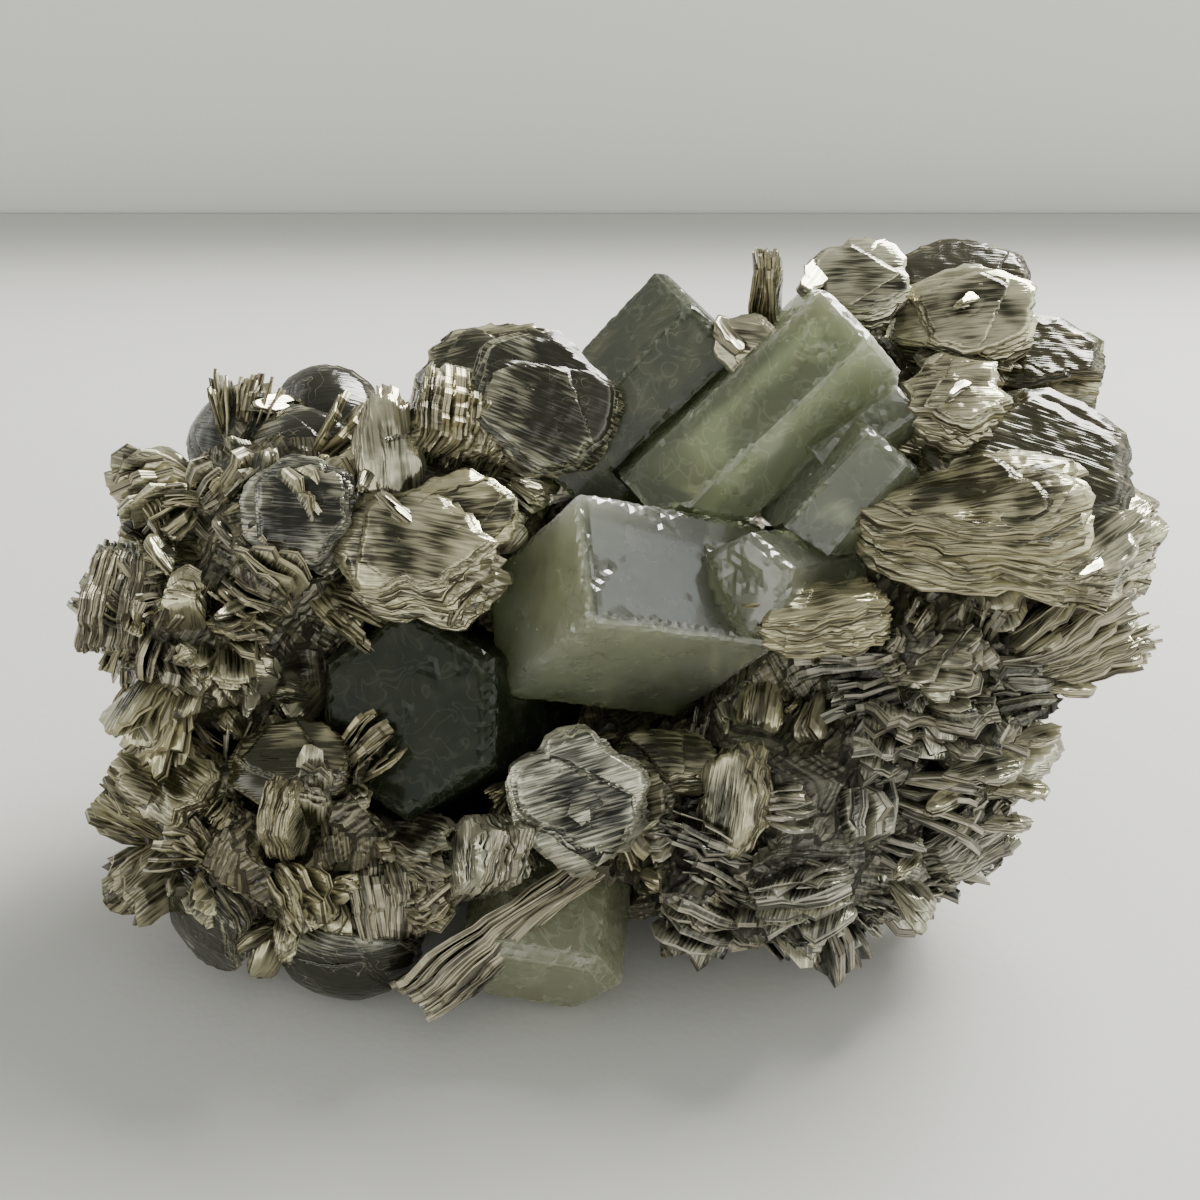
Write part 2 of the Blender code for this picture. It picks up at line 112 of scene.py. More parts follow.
# Large books: node, centre, (azimuth, elevation, roll), half width, half height, thickness, fan,
# curl. Then how each is dressed: leaves, raggedness, flutter, paleness, warmth.
BOOKS = (
    ("mica_crest", (-6.0, 1.8, 53.0), (25, 38, -35), 8.0, 7.0, 3.4, 6, 14,
     9, 0.04, 0.15, 0.3, 0.4),
    ("mica_shell", (-19.8, -10.5, 43.8), (-15, 58, -5), 9.0, 5.5, 4.6, 20, 10,
     16, 0.06, 0.3, 0.7, 0.75),
    ("mica_sheaf", (-18.5, 2.6, 51.6), (-75, 22, 30), 6.5, 4.6, 6.0, 24, 8,
     18, 0.08, 0.3, 0.7, 0.8),
    ("mica_honey_book", (-14.5, -8.5, 46.0), (10, 35, 0), 5.0, 4.5, 2.6, 8, 10,
     8, 0.04, 0.2, 0.6, 0.9),
    ("mica_bright_book", (-21.5, -2.0, 48.0), (30, 30, 80), 7.5, 3.4, 2.8, 6, 16,
     10, 0.08, 0.4, 1.0, 0.45),
    ("mica_grey_book", (-30.5, -6.0, 46.0), (-10, 48, 0), 6.0, 5.5, 4.4, 10, 18,
     12, 0.05, 0.3, 0.4, 0.15),
    ("mica_rear_dome", (-41.0, 12.0, 45.0), (-25, 50, 0), 5.8, 5.5, 7.0, 8, 34,
     16, 0.03, 0.1, 0.0, 0.3),
    ("mica_far_dome", (-30.5, 14.5, 46.8), (5, 60, 0), 6.0, 4.8, 5.5, 8, 34,
     14, 0.03, 0.1, 0.05, 0.4),
    ("mica_near_dome", (-32.3, 6.0, 45.8), (5, 52, 0), 5.6, 4.8, 4.6, 8, 30,
     12, 0.03, 0.1, 0.0, 0.35),
    ("mica_rim_book", (-53.4, -4.0, 34.0), (-80, 15, 0), 6.5, 5.5, 5.6, 14, 12,
     18, 0.07, 0.3, 0.6, 0.5),
    ("mica_brown_book", (-32.0, -19.5, 25.0), (0, 58, 0), 6.0, 4.5, 3.4, 8, 16,
     12, 0.04, 0.2, 0.2, 0.95),
    ("mica_left_fan", (-43.5, -18.0, 21.0), (-40, 50, 0), 5.5, 4.5, 4.4, 22, 8,
     14, 0.08, 0.4, 0.5, 0.95),
    ("mica_upright_slab", (-30.5, -26.0, 22.0), (75, 0, 10), 3.0, 4.8, 2.6, 4, 4,
     9, 0.06, 0.1, 0.9, 0.8),
    ("mica_bottom_book", (-26.8, -29.8, 5.6), (-5, -4, 0), 7.5, 4.8, 5.0, 6, 26,
     12, 0.04, 0.15, 0.05, 0.3),
    ("mica_corner_book", (-41.5, -25.5, 9.0), (-40, 5, 0), 6.0, 5.2, 4.5, 10, 18,
     12, 0.05, 0.2, 0.1, 0.4),
    ("mica_slant_book", (-15.4, -26.5, 17.5), (-60, 20, -40), 3.8, 7.2, 4.2, 10, 6,
     13, 0.08, 0.3, 0.8, 0.3),
    ("mica_front_plate", (-3.2, -24.2, 23.4), (10, 35, 10), 6.6, 7.2, 3.4, 6, 12,
     8, 0.07, 0.35, 0.6, 0.1),
    ("mica_top_scale", (36.5, 20.0, 58.5), (10, 66, -15), 7.0, 5.0, 3.2, 8, 18,
     8, 0.02, 0.1, 0.05, 0.9),
    ("mica_pale_scale", (36.8, 13.5, 57.2), (-5, 60, 5), 7.6, 5.2, 4.6, 14, 16,
     13, 0.04, 0.25, 0.85, 0.7),
    ("mica_amber_scale", (45.2, 14.2, 51.2), (20, 62, -22), 7.5, 5.6, 4.0, 12, 16,
     10, 0.04, 0.2, 0.2, 1.0),
    ("mica_glint_book", (34.2, 4.2, 52.3), (20, 66, -20), 5.2, 5.0, 5.4, 26, 10,
     14, 0.08, 0.35, 0.85, 0.7),
    ("mica_window_plate", (42.8, 2.5, 47.0), (15, 58, -30), 11.5, 8.0, 3.6, 5, 8,
     8, 0.03, 0.1, 0.1, 0.85),
    ("mica_wave_book", (36.6, -4.4, 45.4), (5, 84, -5), 11.0, 6.5, 5.6, 16, 10,
     18, 0.08, 0.5, 0.7, 0.8),
    ("mica_tip_book", (48.0, -2.6, 41.0), (25, 80, 6), 7.5, 6.5, 4.6, 20, 8,
     16, 0.10, 0.45, 0.9, 0.5),
    ("mica_feather_book", (20.0, -12.0, 37.8), (5, 84, 0), 7.2, 3.6, 2.4, 12, 6,
     10, 0.10, 0.4, 0.75, 0.9),
    ("mica_disc", (13.3, 8.7, 56.2), (-20, 30, 0), 3.3, 3.2, 2.4, 0, 8,
     5, 0.03, 0.1, 1.0, 0.5),
    ("mica_standing_blade", (16.8, 14.4, 59.2), (80, 0, 10), 2.2, 5.6, 2.4, 10, 0,
     9, 0.06, 0.2, 0.5, 1.0),
    ("mica_pale_leaf", (25.6, 17.0, 59.7), (-5, 58, 0), 5.5, 4.6, 3.0, 6, 10,
     9, 0.06, 0.2, 0.85, 0.4),
    ("mica_rear_fan", (-14.0, 21.0, 47.5), (-10, 62, 10), 7.0, 5.0, 4.6, 18, 12,
     14, 0.07, 0.3, 0.4, 0.8),
    ("mica_broom_book", (46.1, -4.6, 30.9), (-125, 60, 136), 8.6, 5.0, 3.2, 30, 4,
     18, 0.12, 0.4, 0.7, 0.55),
    ("mica_flank_sheet", (39.8, -13.2, 21.8), (67, 66, -46), 6.6, 4.6, 3.4, 8, 8,
     8, 0.07, 0.3, 0.9, 0.15),
    ("mica_ridge_book", (34.0, -17.7, 16.1), (-103, 62, 118), 6.0, 4.5, 4.5, 14, 6,
     14, 0.10, 0.3, 0.4, 0.2),
    ("mica_striated_book", (-25.9, -25.3, 12.2), (-75, 5, 125), 5.2, 4.2, 8.5, 6, 4,
     24, 0.07, 0.3, 0.6, 0.5),
    ("mica_lip_blade", (-9.7, -29.3, 9.5), (44, -31, -145), 12.0, 3.5, 2.6, 8, 3,
     9, 0.05, 0.3, 0.6, 0.6),
    ("mica_hanging_leaf", (11.5, -24.0, 23.3), (-38, 35, 102), 5.8, 3.4, 2.6, 6, 8,
     7, 0.07, 0.3, 0.5, 0.8),
    ("mica_green_leaf", (5.3, -17.5, 23.5), (-29, 71, 15), 5.6, 3.3, 2.6, 10, 8,
     8, 0.07, 0.3, 0.6, 0.8),
)

# Rings of a leaf: the share of its reach, and which of its two faces. Then the folds' waves, in
# radians per millimetre.
PLAIN_ROWS = ((0.5, -1), (1, -1), (1, 1), (0.5, 1))
COVER_ROWS = ((0.6, -1), (1, -1), (1, 1), (0.88, 1), (0.7, 1), (0.48, 1), (0.24, 1))
FOLD_WAVES = (0.45, 0.8, 1.4, 2.4)
COVER_THICKNESS = 0.08
COVER_STEP = 0.07  # from one cover to the next

DOME_CURL = 24  # large books that curl more than this are domes
DOMED = {"curl": 1.0, "roundness": 0.6, "lens": 0.3}
FLAT = {"curl": 0.5, "roundness": 0.25, "lens": 0.04}
GREY_LUMPS = (5, 6)  # the right root, by place in LUMPS
SHEAF_SEAT = 2.5  # how far a sheaf's book is pushed in along its own width
LEAF_PITCH = 0.28  # thickness of a small book for each of its leaves
SHINING_ONE_IN = 6  # of the flakes
SHINING_FAN = 0.15  # how far those open, over the others
BLOCKS_A_LUMP = 60
LEDGE = 0.8  # height of the steps in a block of the mass
CUT_CLEARANCE = 0.0008  # metres above the flat cut that stay as they are
ROW_GAP = 0.87  # between rows of equal triangles, over their side

# How each aquamarine is filled: haze, absorption per metre, tint, how strong the veils are, how
# cloudy it is and gloss. Then how much clearer its end is than its sides.
FINISHES = {
    "aquamarine_centre": (0.25, 24.0, (0.52, 0.56, 0.37), 0.3, 0.8, 1.0),
    "aquamarine_upper": (0.30, 22.0, (0.205, 0.235, 0.14), 0.25, 0.6, 0.6),
    "aquamarine_back": (0.55, 60.0, (0.042, 0.050, 0.028), 0.1, 0.4, 0.25),
    # The recess crystal's near-black tint is its own dark green and painted shade of the hollow it
    # sits in.
    "aquamarine_recess": (0.78, 110.0, (0.011, 0.016, 0.007), 0.03, 0.1, 0.12),
    "aquamarine_foot": (0.42, 28.0, (0.27, 0.285, 0.172), 0.3, 1.0, 0.5),
}
CLEAR_ENDS = {"aquamarine_centre": 0.84}
CLEAR_SIDE = 0.3  # how clear the smaller crystals beside that end are
CREASE_ANGLE = 0.2  # radians between two faces, from which their edge is etched

# Where a crystal is etched more deeply: centres and sizes.
ETCHED = {
    "aquamarine_centre": (((-3.5, -13.0, 24.5), 3.0), ((-2.0, -14.5, 33.0), 2.2),
                          ((12.5, -9.8, 41.0), 2.6)),
    "aquamarine_upper": (((25.5, 10.5, 57.0), 5.5), ((27.5, 6.5, 51.0), 5.0),
                         ((21.0, 8.0, 58.0), 4.0)),
    "aquamarine_foot": (((-2.0, -26.0, 9.0), 4.0),),
}

# Leaves that lie so that they shine: a point on the line of sight, half width, half height and
# roll. Each is seated where that line first meets the specimen.
BRIGHT_LEAVES = (
    ((41.5, -16.8, 19.0), 2.4, 1.4, -60), ((43.0, -15.0, 24.6), 2.4, 1.1, -35),
    ((46.6, -11.0, 27.5), 2.2, 0.9, -50), ((30.0, -21.0, 12.6), 1.8, 0.9, -20),
    ((37.0, -18.2, 22.9), 3.8, 2.2, -40), ((39.2, -18.4, 20.4), 2.6, 1.1, -50),
    ((33.4, -19.5, 20.0), 2.4, 1.0, -30), ((20.8, 13.6, 61.6), 2.8, 2.0, 10),
    ((-19.9, -9.6, 47.4), 2.6, 0.9, 85), ((-45.2, -4.2, 39.2), 2.0, 1.0, 60),
    ((21.8, -19.0, 26.0), 2.4, 0.9, -20), ((-40.8, -4.2, 42.8), 2.0, 1.0, 70),
    ((17.4, -13.0, 28.3), 1.5, 0.9, 0), ((11.9, -12.8, 25.9), 2.3, 1.3, 25),
    ((-24.0, -4.8, 48.6), 1.8, 0.7, 10), ((-37.6, -10.0, 36.8), 2.0, 0.8, -20),
    ((-35.8, -14.2, 28.8), 2.0, 0.9, 15), ((-45.2, -19.2, 28.8), 1.6, 0.7, 40),
    ((-43.6, -24.8, 13.7), 1.4, 0.7, 0), ((-35.4, 12.9, 47.0), 2.4, 1.2, -30),
    ((-37.8, -6.4, 43.2), 1.8, 0.8, 65), ((48.6, -5.6, 38.6), 2.6, 0.8, -10),
    ((12.2, 6.6, 58.2), 2.2, 1.6, 60), ((34.3, 1.4, 55.3), 2.2, 0.7, -5),
    ((36.0, 9.4, 61.0), 1.8, 0.6, -10), ((39.6, -19.2, 16.6), 2.6, 0.9, -60),
)

# The main lamp, and the small window that shows on the centre crystal's end, in metres.
LAMP_PLACE = (0.32, 0.40, 0.40)
PANE_PLACE = (0.478, 0.135, 0.409)

# The camera: it looks down at the specimen from the front, as through a short telephoto lens.
CAMERA_AIM = (0.0, 0.0, 27.0)
CAMERA_ELEVATION = 35.0
CAMERA_DISTANCE = 221.4
FIELD_OF_VIEW = 32.0
FRAME_WIDTH = 1200
AIM_PIXEL = (612, 628)


def facing(azimuth, elevation, roll=0.0):
    """Axes of a face: across it, up it and out of it. Azimuth 0 faces the front, 90 the right."""
    a, e, r = (math.radians(x) for x in (azimuth, elevation, roll))
    out = Vector((math.sin(a) * math.cos(e), -math.cos(a) * math.cos(e), math.sin(e)))
    across = Vector((math.cos(a), math.sin(a), 0))
    up = out.cross(across)
    turned = math.cos(r) * across + math.sin(r) * up
    return turned, out.cross(turned), out


def in_frame(point):
    """A layout point in the frame's metres."""
    return (Vector(point) - BASE_CENTRE) * MM


# Shader maths


class Wire:
    """A node's output, on which shader maths is written as plain expressions."""

    def __init__(self, paint, socket):
        self.paint, self.socket = paint, socket

    def maths(self, operation, *values):
        settings = {"operation": operation}
        return self.paint.node("ShaderNodeMath", settings, dict(enumerate(values)))

    def __add__(self, other):
        return self.maths("ADD", self, other)

    __radd__ = __add__

    def __mul__(self, other):
        return self.maths("MULTIPLY", self, other)

    __rmul__ = __mul__

    def __sub__(self, other):
        return self.maths("SUBTRACT", self, other)

    def __rsub__(self, other):
        return self.maths("SUBTRACT", other, self)

    def size(self):
        return self.maths("ABSOLUTE", self)


class Paint:
    """A material under construction, on one Principled shader."""

    def __init__(self, name, **constants):
        self.material = bpy.data.materials.new(name)
        self.material.use_nodes = True
        self.tree = self.material.node_tree
        self.shader = self.tree.nodes["Principled BSDF"]
        self.set(**constants)

    def set(self, **sockets):
        """Sets the shader's own sockets, by name with underscores, to constants or wires."""
        for name, value in sockets.items():
            self.feed(self.shader.inputs[name.replace("_", " ")], value)

    def feed(self, socket, value):
        if isinstance(value, Wire):
            self.tree.links.new(value.socket, socket)
        elif socket.type == "RGBA":
            socket.default_value = (*value, 1)
        else:
            socket.default_value = value

    def node(self, kind, settings=None, sockets=None, out=0):
        """Any node: its settings first, then its sockets by name or number. Gives one output."""
        made = self.tree.nodes.new(kind)
        for name, value in (settings or {}).items():
            setattr(made, name, value)
        for name, value in (sockets or {}).items():
            self.feed(made.inputs[name], value)
        return Wire(self, made.outputs[out])

    def attribute(self, name, out=2):
        return self.node("ShaderNodeAttribute", {"attribute_name": name}, out=out)

    def stretched(self, place, scale):
        """A vector with each axis scaled by its own amount."""
        return self.node("ShaderNodeVectorMath", {"operation": "MULTIPLY"}, {0: place, 1: scale})

    def noise(self, place, scale, detail, roughness=0.55, distortion=0.0):
        sockets = {"Vector": place, "Scale": scale, "Detail": detail}
        sockets.update({"Roughness": roughness, "Distortion": distortion})
        return self.node("ShaderNodeTexNoise", {"noise_dimensions": "3D"}, sockets)

    def step(self, value, low, high):
        """0 below low, 1 above high, and smooth between."""
        settings = {"interpolation_type": "SMOOTHSTEP", "clamp": True}
        sockets = {"Value": value, "From Min": low, "From Max": high}
        return self.node("ShaderNodeMapRange", settings, sockets)

    def blend(self, share, first, second):
        """A colour between two others."""
        settings = {"data_type": "RGBA"}
        return self.node("ShaderNodeMix", settings, {0: share, 6: first, 7: second}, out=2)

    def bump(self, height, strength, distance):
        sockets = {"Height": height, "Strength": strength, "Distance": distance}
        return self.node("ShaderNodeBump", sockets=sockets)


class Sky(Paint):
    """The light from all round, under construction."""

    def __init__(self, name):
        self.world = bpy.data.worlds.new(name)
        self.world.use_nodes = True
        self.tree = self.world.node_tree
        self.shader = self.tree.nodes["Background"]


def mica_paint(name, look, shade=1.0):
    """Muscovite: silky fibrous faces, painted paler towards their rims as light coming through, and
    edges that show the leaves as cream lines between brown lines with painted shade in the gaps.
    """
    paint = Paint(name, IOR=1.6)
    place = paint.attribute("leaf_place", out=1)
    edge = paint.attribute("leaf_edge")
    parts = paint.node("ShaderNodeSeparateColor", sockets={0: paint.attribute("leaf_tone", out=0)})
    pale, warm, own = (Wire(paint, parts.socket.node.outputs[k]) for k in range(3))
    rim = paint.attribute("leaf_tone", out=3)
    seeds = {0: own * 37.0, 1: own * 61.0, 2: own * 83.0}
    shifted = paint.node("ShaderNodeCombineXYZ", sockets=seeds)
    spot = paint.node("ShaderNodeVectorMath", {"operation": "ADD"}, {0: place, 1: shifted})
    lines = paint.noise(paint.stretched(spot, (0.12, 0.12, 3.2)), 1.0, 1.0, 0.8)
    fibres = paint.noise(paint.stretched(spot, (0.26, 3.0, 0.5)), 1.0, 1.0, 0.8)
    crinkle = paint.noise(spot, 0.8, 0.0)
    clouds = paint.noise(spot, 0.33, 0.0)

    threads = 1 - paint.step((crinkle - 0.5).size(), 0.002, 0.012)
    # Cream leaf lines over dark lines between them: the dark lines are brown mica with painted shade
    # in the gaps between leaves.
    line_over_gap_shade = paint.step(lines, 0.40, 0.60)
    silk = paint.step(fibres, 0.38, 0.64)
    warm_edge = paint.blend(line_over_gap_shade, look.groove_shade_colour, look.edge_colour)
    grey_edge = paint.blend(line_over_gap_shade, look.grey_groove_shade_colour, look.grey_edge_colour)
    edge_colour = paint.blend(warm, grey_edge, warm_edge)
    dark = paint.blend(warm, look.smoke_colour, look.olive_colour)
    light = paint.blend(warm, look.silver_colour, look.honey_colour)
    # Faces are painted paler towards their rims: painted light coming through the thin rims.
    share = pale + (rim - 0.75) * 0.7 + (clouds - 0.5) * 1.3 + (silk - 0.5) * 0.45
    body = paint.blend(paint.step(share, 0.1, 1.2), dark, light)
    scratched = threads * paint.step(clouds, 0.45, 0.6) * (0.35 - 0.3 * warm)
    face_colour = paint.blend(scratched, body, look.scratch_colour)
    colour = paint.blend(edge * (0.6 + 0.4 * pale), face_colour, edge_colour)
    # Below 1, shade paints the whole colour darker towards the mass's shade colour: painted shade
    # under and between the books.
    if shade < 1:
        colour = paint.blend(1 - shade, colour, look.mass_shade_colour)
    relief = lines * edge * 1.1 + (fibres * 0.7 + crinkle * 1.2) * (1 - edge * 0.8)
    relief = relief * (0.45 + 2.2 * pale * (1 - pale))
    paint.set(
        Base_Color=colour,
        Roughness=0.17 - 0.05 * pale + edge * 0.22,
        Metallic=0.15 + 0.5 * pale,
        Normal=paint.bump(relief, 1.0, look.line_depth),
    )
    return paint.material


def aquamarine_paint(name, look, haze, density, tint, veiled, cloudy, gloss):
    """Pale green beryl: a glassy skin, etched in places, over a slightly cloudy inside."""
    paint = Paint(name, IOR=1.575, Transmission_Weight=1.0 - haze, Coat_Weight=gloss,
                  Coat_IOR=1.575, Coat_Roughness=0.03, Specular_IOR_Level=0.0,
                  Subsurface_Weight=float(haze < 0.4), Subsurface_Scale=0.03,
                  Subsurface_Radius=(1.0, 1.03, 0.88))
    place = paint.node("ShaderNodeTexCoord", out=3)
    etch = paint.attribute("etch")
    along = paint.attribute("crystal_place", out=1)
    pits = paint.noise(place, 1400.0, 1.0, 0.6)
    patches = paint.noise(place, 260.0, 1.0, 0.7)
    lines = paint.noise(paint.stretched(along, (2.2, 2.2, 0.12)), 1.0, 1.0, 0.8)
    frost = paint.step(etch + patches * 0.4 - 0.2, 0.3, 0.8)
    mottle = paint.step(paint.noise(along, 0.22, 2.0, 0.75), 0.42, 0.72)
    wisps = paint.step(paint.noise(along, 0.3, 2.0, 0.7), 0.5, 0.8)
    body = paint.blend(mottle * 0.5 * cloudy, tint, look.mottle_colour)
    folds = paint.noise(along, 0.3, 1.0, 0.7, 1.2)
    veils = 1 - paint.step((folds - 0.5).size(), 0.0, 0.04)
    milk = (wisps * 0.2 + frost * 0.2) * cloudy + veils * veiled
    colour = paint.blend(milk, body, look.frost_colour)
    colour = paint.blend(paint.attribute("clear"), colour, look.clear_colour)
    paint.set(
        Base_Color=colour,
        Roughness=0.25 + wisps * 0.12,
        Normal=paint.bump(pits * (frost * 0.5 + 0.01) + lines * 0.06, 0.5, 0.0003),
    )
    absorb = paint.tree.nodes.new("ShaderNodeVolumeAbsorption")
    absorb.inputs["Color"].default_value = (*look.depth_colour, 1)
    absorb.inputs["Density"].default_value = density
    output = paint.tree.nodes["Material Output"]
    paint.tree.links.new(absorb.outputs[0], output.inputs["Volume"])
    return paint.material


# Meshes


class Pile:
    """Collects closed stacks of leaves and makes one mesh of them."""

    def __init__(self):
        self.points, self.places, self.tones = [], [], []
        self.quads, self.edges, self.caps = [], [], []
        self.total = 0

    def add(self, points, places, quads, edges, caps, tone):
        self.quads.append(quads + self.total)
        self.caps += [cap + self.total for cap in caps]
        self.points.append(points)
        self.places.append(places)
        self.edges.append(edges)
        self.tones.append(tone)
        self.total += len(points)

    def triangles(self):
        return 2 * sum(len(quads) for quads in self.quads) + sum(len(c) - 2 for c in self.caps)

    def make(self, name, material):
        points = (np.concatenate(self.points) - np.array(BASE_CENTRE)) * MM
        quads = np.concatenate(self.quads)
        corners = np.concatenate([quads.ravel(), *self.caps])
        sizes = np.array([4] * len(quads) + [len(cap) for cap in self.caps])
        mesh = bpy.data.meshes.new(name)
        mesh.vertices.add(len(points))
        mesh.vertices.foreach_set("co", points.ravel())
        mesh.loops.add(len(corners))
        mesh.loops.foreach_set("vertex_index", corners)
        mesh.polygons.add(len(sizes))
        mesh.polygons.foreach_set("loop_start", np.cumsum(sizes) - sizes)
        mesh.polygons.foreach_set("loop_total", sizes)
        mesh.update(calc_edges=True)
        point_data(mesh, "leaf_place", "FLOAT_VECTOR", "vector", np.concatenate(self.places))
        point_data(mesh, "leaf_tone", "FLOAT_COLOR", "color", np.concatenate(self.tones))
        edge = mesh.attributes.new("leaf_edge", "FLOAT", "FACE")
        flags = np.concatenate([*self.edges, np.zeros(len(self.caps))])
        edge.data.foreach_set("value", flags)
        mesh.polygons.foreach_set("use_smooth", flags < 0.9)
        mesh.validate()
        mesh.materials.append(material)
        made = bpy.data.objects.new(name, mesh)
        bpy.context.scene.collection.objects.link(made)
        return made


def outline(draw, angle, roundness, ragged):
    """The reach of a rough six-sided leaf in each direction, about 1."""
    phase = draw.uniform(-0.3, 0.3)
    reach = np.full(len(angle), 9.0)
    for side in range(6):
        turn = np.cos(angle - phase - side * math.pi / 3)
        reach = np.minimum(reach, draw.uniform(0.84, 1.02) / np.maximum(turn, 0.1))
    reach = np.minimum(reach, 1.16) * (1 - roundness) + roundness
    return reach * (1 + ragged * smooth_noise(draw, len(angle), 2))


def smooth_noise(draw, count, passes):
    """Random numbers round a ring, smoothed with their neighbours and kept near 1 in size."""
    values = draw.normal(size=count)
    for _ in range(passes):
        values = 0.5 * values + 0.25 * (np.roll(values, 1) + np.roll(values, -1))
    return values * 1.6**passes


def chipped(draw, angle, reach, deep):
    """A leaf broken off along a straight line on one side."""
    turn = np.cos(angle - draw.uniform(0, 2 * math.pi))
    return np.minimum(reach, deep / np.maximum(turn, 0.05))


def leaf_book(draw, across, up, thick, leaves, sides, fan=0.0, curl=0.0, ragged=0.05,
              folds=0.1, roundness=0.3, covers=0, breaks=0.3, lens=0.05, full=0.9, sway=0.5,
              taper=0.0, twist=0.0):
    """The leaves of a book about its own axes, with its outer face at height 0.

    They open like a fan from -X to +X. Each is a thin closed sheet with a ragged or broken rim,
    tilted, bent and folded a little. Covers are leaves on the outer face, cut finely enough to
    take folds. Gives sets of leaves: rows, points and places by leaf, row and side, and how far
    out each point is.
    """
    angle = np.linspace(0, 2 * math.pi, sides, endpoint=False)
    angle = angle + draw.uniform(-0.35, 0.35, sides) * 2 * math.pi / sides
    shape = outline(draw, angle, roundness, ragged * 0.5)
    pitch = np.exp(draw.normal(0, 0.6, leaves))
    pitch /= pitch.sum()
    middle = np.cumsum(pitch) - pitch / 2
    free = 0.5 + 0.5 * np.cos(angle)
    drift, slip, cut = np.zeros(sides), np.zeros(2), shape
    reach = np.empty((leaves + covers, sides))
    for leaf in range(leaves):
        drift = 0.6 * drift + ragged * 0.35 * smooth_noise(draw, sides, 1)
        slip = 0.8 * slip + draw.normal(size=2) * 0.02
        if draw.random() < breaks:
            cut = chipped(draw, angle, shape, draw.uniform(0.6, 0.97))
        elif draw.random() < 0.4:
            cut = shape
        own = drift + slip[0] * np.cos(angle) + slip[1] * np.sin(angle)
        own = own + ragged * 0.6 * draw.normal(size=sides) * (0.3 + 0.7 * free)
        reach[leaf] = cut * draw.uniform(0.95, 1.01) + own
    cut = reach[leaves - 1]
    for step in range(covers):
        reach[leaves + step] = cut + 0.012 * draw.normal(size=sides)
        cut = chipped(draw, angle, cut - draw.uniform(0.01, 0.06), draw.uniform(0.35, 0.9))
    reach = np.clip(reach, 0.2, 1.12)
    half = np.concatenate([pitch * full / 2, np.full(covers, COVER_THICKNESS / 2 / thick)])
    middle = np.concatenate([middle, 1 + COVER_STEP * np.arange(covers) / thick])
    own = np.radians(sway * draw.normal(size=(4, leaves + covers, 1, 1)))
    own[:, leaves:] = 0
    bend = (math.radians(curl) + own[2]) / (2 * across)
    roll = draw.uniform(0, math.pi)
    waves = [(wave, draw.uniform(0.8, 2.3), draw.uniform(0, 6.3, 2)) for wave in FOLD_WAVES]

    def laid(which, rows):
        out, side = np.array(rows).T[:, None, :, None]
        out = out * reach[which][:, None, :]
        swing = angle + twist * own[3][which]
        x, y = across * out * np.cos(swing), up * out * np.sin(swing)
        y = y * (1 - taper * (0.5 - 0.5 * x / across))
        opened = middle[which][:, None, None]
        depth = thick * (1 - lens * out**2) + (x + across) * math.radians(fan)
        rise = side * half[which][:, None, None] * (thick + 0.7 * (depth - thick))
        z = -0.5 * thick + (opened - 0.5) * depth + rise
        z = z + (x + across) * own[0][which] + y * own[1][which]
        along = x * math.cos(roll) + y * math.sin(roll)
        z = z - bend[which] * (0.5 * (x * x + y * y) + along * along)
        for wave, way, (phase, drag) in waves:
            along = x * math.cos(way) + y * math.sin(way)
            lift = np.abs(np.sin(0.5 * wave * along + phase + 0.25 * drag * opened + 0.1 * x))
            z = z + folds / wave * (1.3 - 2 * lift)
        places = np.stack([x, y, opened * thick + rise], axis=-1)
        return rows, np.stack([x, y, z], axis=-1), places, np.clip(out + 0 * x, 0, 1)

    sets = [laid(np.arange(leaves), PLAIN_ROWS)]
    if covers:
        sets.append(laid(np.arange(leaves, leaves + covers), COVER_ROWS))
    return sets


def leaf_faces(leaves, rows, sides):
    """Quads, which of them are on a rim, and the caps of a set of leaves."""
    here = np.arange(leaves * len(rows) * sides).reshape(leaves, len(rows), sides)
    after = np.roll(here, -1, axis=2)
    quads = np.stack([here[:, :-1], after[:, :-1], after[:, 1:], here[:, 1:]], axis=-1)
    edges = np.zeros(quads.shape[:3])
    edges[:, [low[0] == high[0] for low, high in zip(rows, rows[1:])]] = 1
    caps = [ring for leaf in here for ring in (leaf[0][::-1].copy(), leaf[-1].copy())]
    return quads.reshape(-1, 4), edges.ravel(), caps


def put(pile, draw, book, centre, axes, pale, warm):
    """Adds a book's leaves to a pile, at a centre and along three axes of the layout."""
    turn = np.array([list(axis) for axis in axes])
    spots = [points.reshape(-1, 3) @ turn + np.array(centre) for _, points, _, _ in book]
    shift = held_in(np.concatenate(spots))
    for spot, (rows, _, places, rim) in zip(spots, book):
        leaves, _, sides = rim.shape
        tone = np.empty((leaves, len(rows), sides, 4))
        tone[..., 0] = np.clip(pale + 0.18 * draw.normal(size=(leaves, 1, 1)), 0, 1)
        tone[..., 1] = np.clip(warm + 0.06 * draw.normal(size=(leaves, 1, 1)), 0, 1)
        tone[..., 2] = draw.random((leaves, 1, 1))
        # The fourth channel, how far out each point is, paints faces paler towards their rims as
        # light coming through.
        tone[..., 3] = rim
        quads, edges, caps = leaf_faces(leaves, rows, sides)
        pile.add(spot + shift, places.reshape(-1, 3), quads, edges, caps, tone.reshape(-1, 4))


def held_in(points):
    """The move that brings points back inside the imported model's box."""
    low, high = (np.array(corner) / MM + np.array(BASE_CENTRE) for corner in CAD_BOX)
    return np.maximum(low - points.min(axis=0), 0) - np.maximum(points.max(axis=0) - high, 0)


def in_lump(point, lump, swell=1.0):
    centre, radii, tilt = lump[:3]
    local = Matrix.Rotation(math.radians(tilt), 3, "Y") @ (Vector(point) - Vector(centre))
    return sum((local[k] / (radii[k] * swell)) ** 2 for k in range(3)) < 1


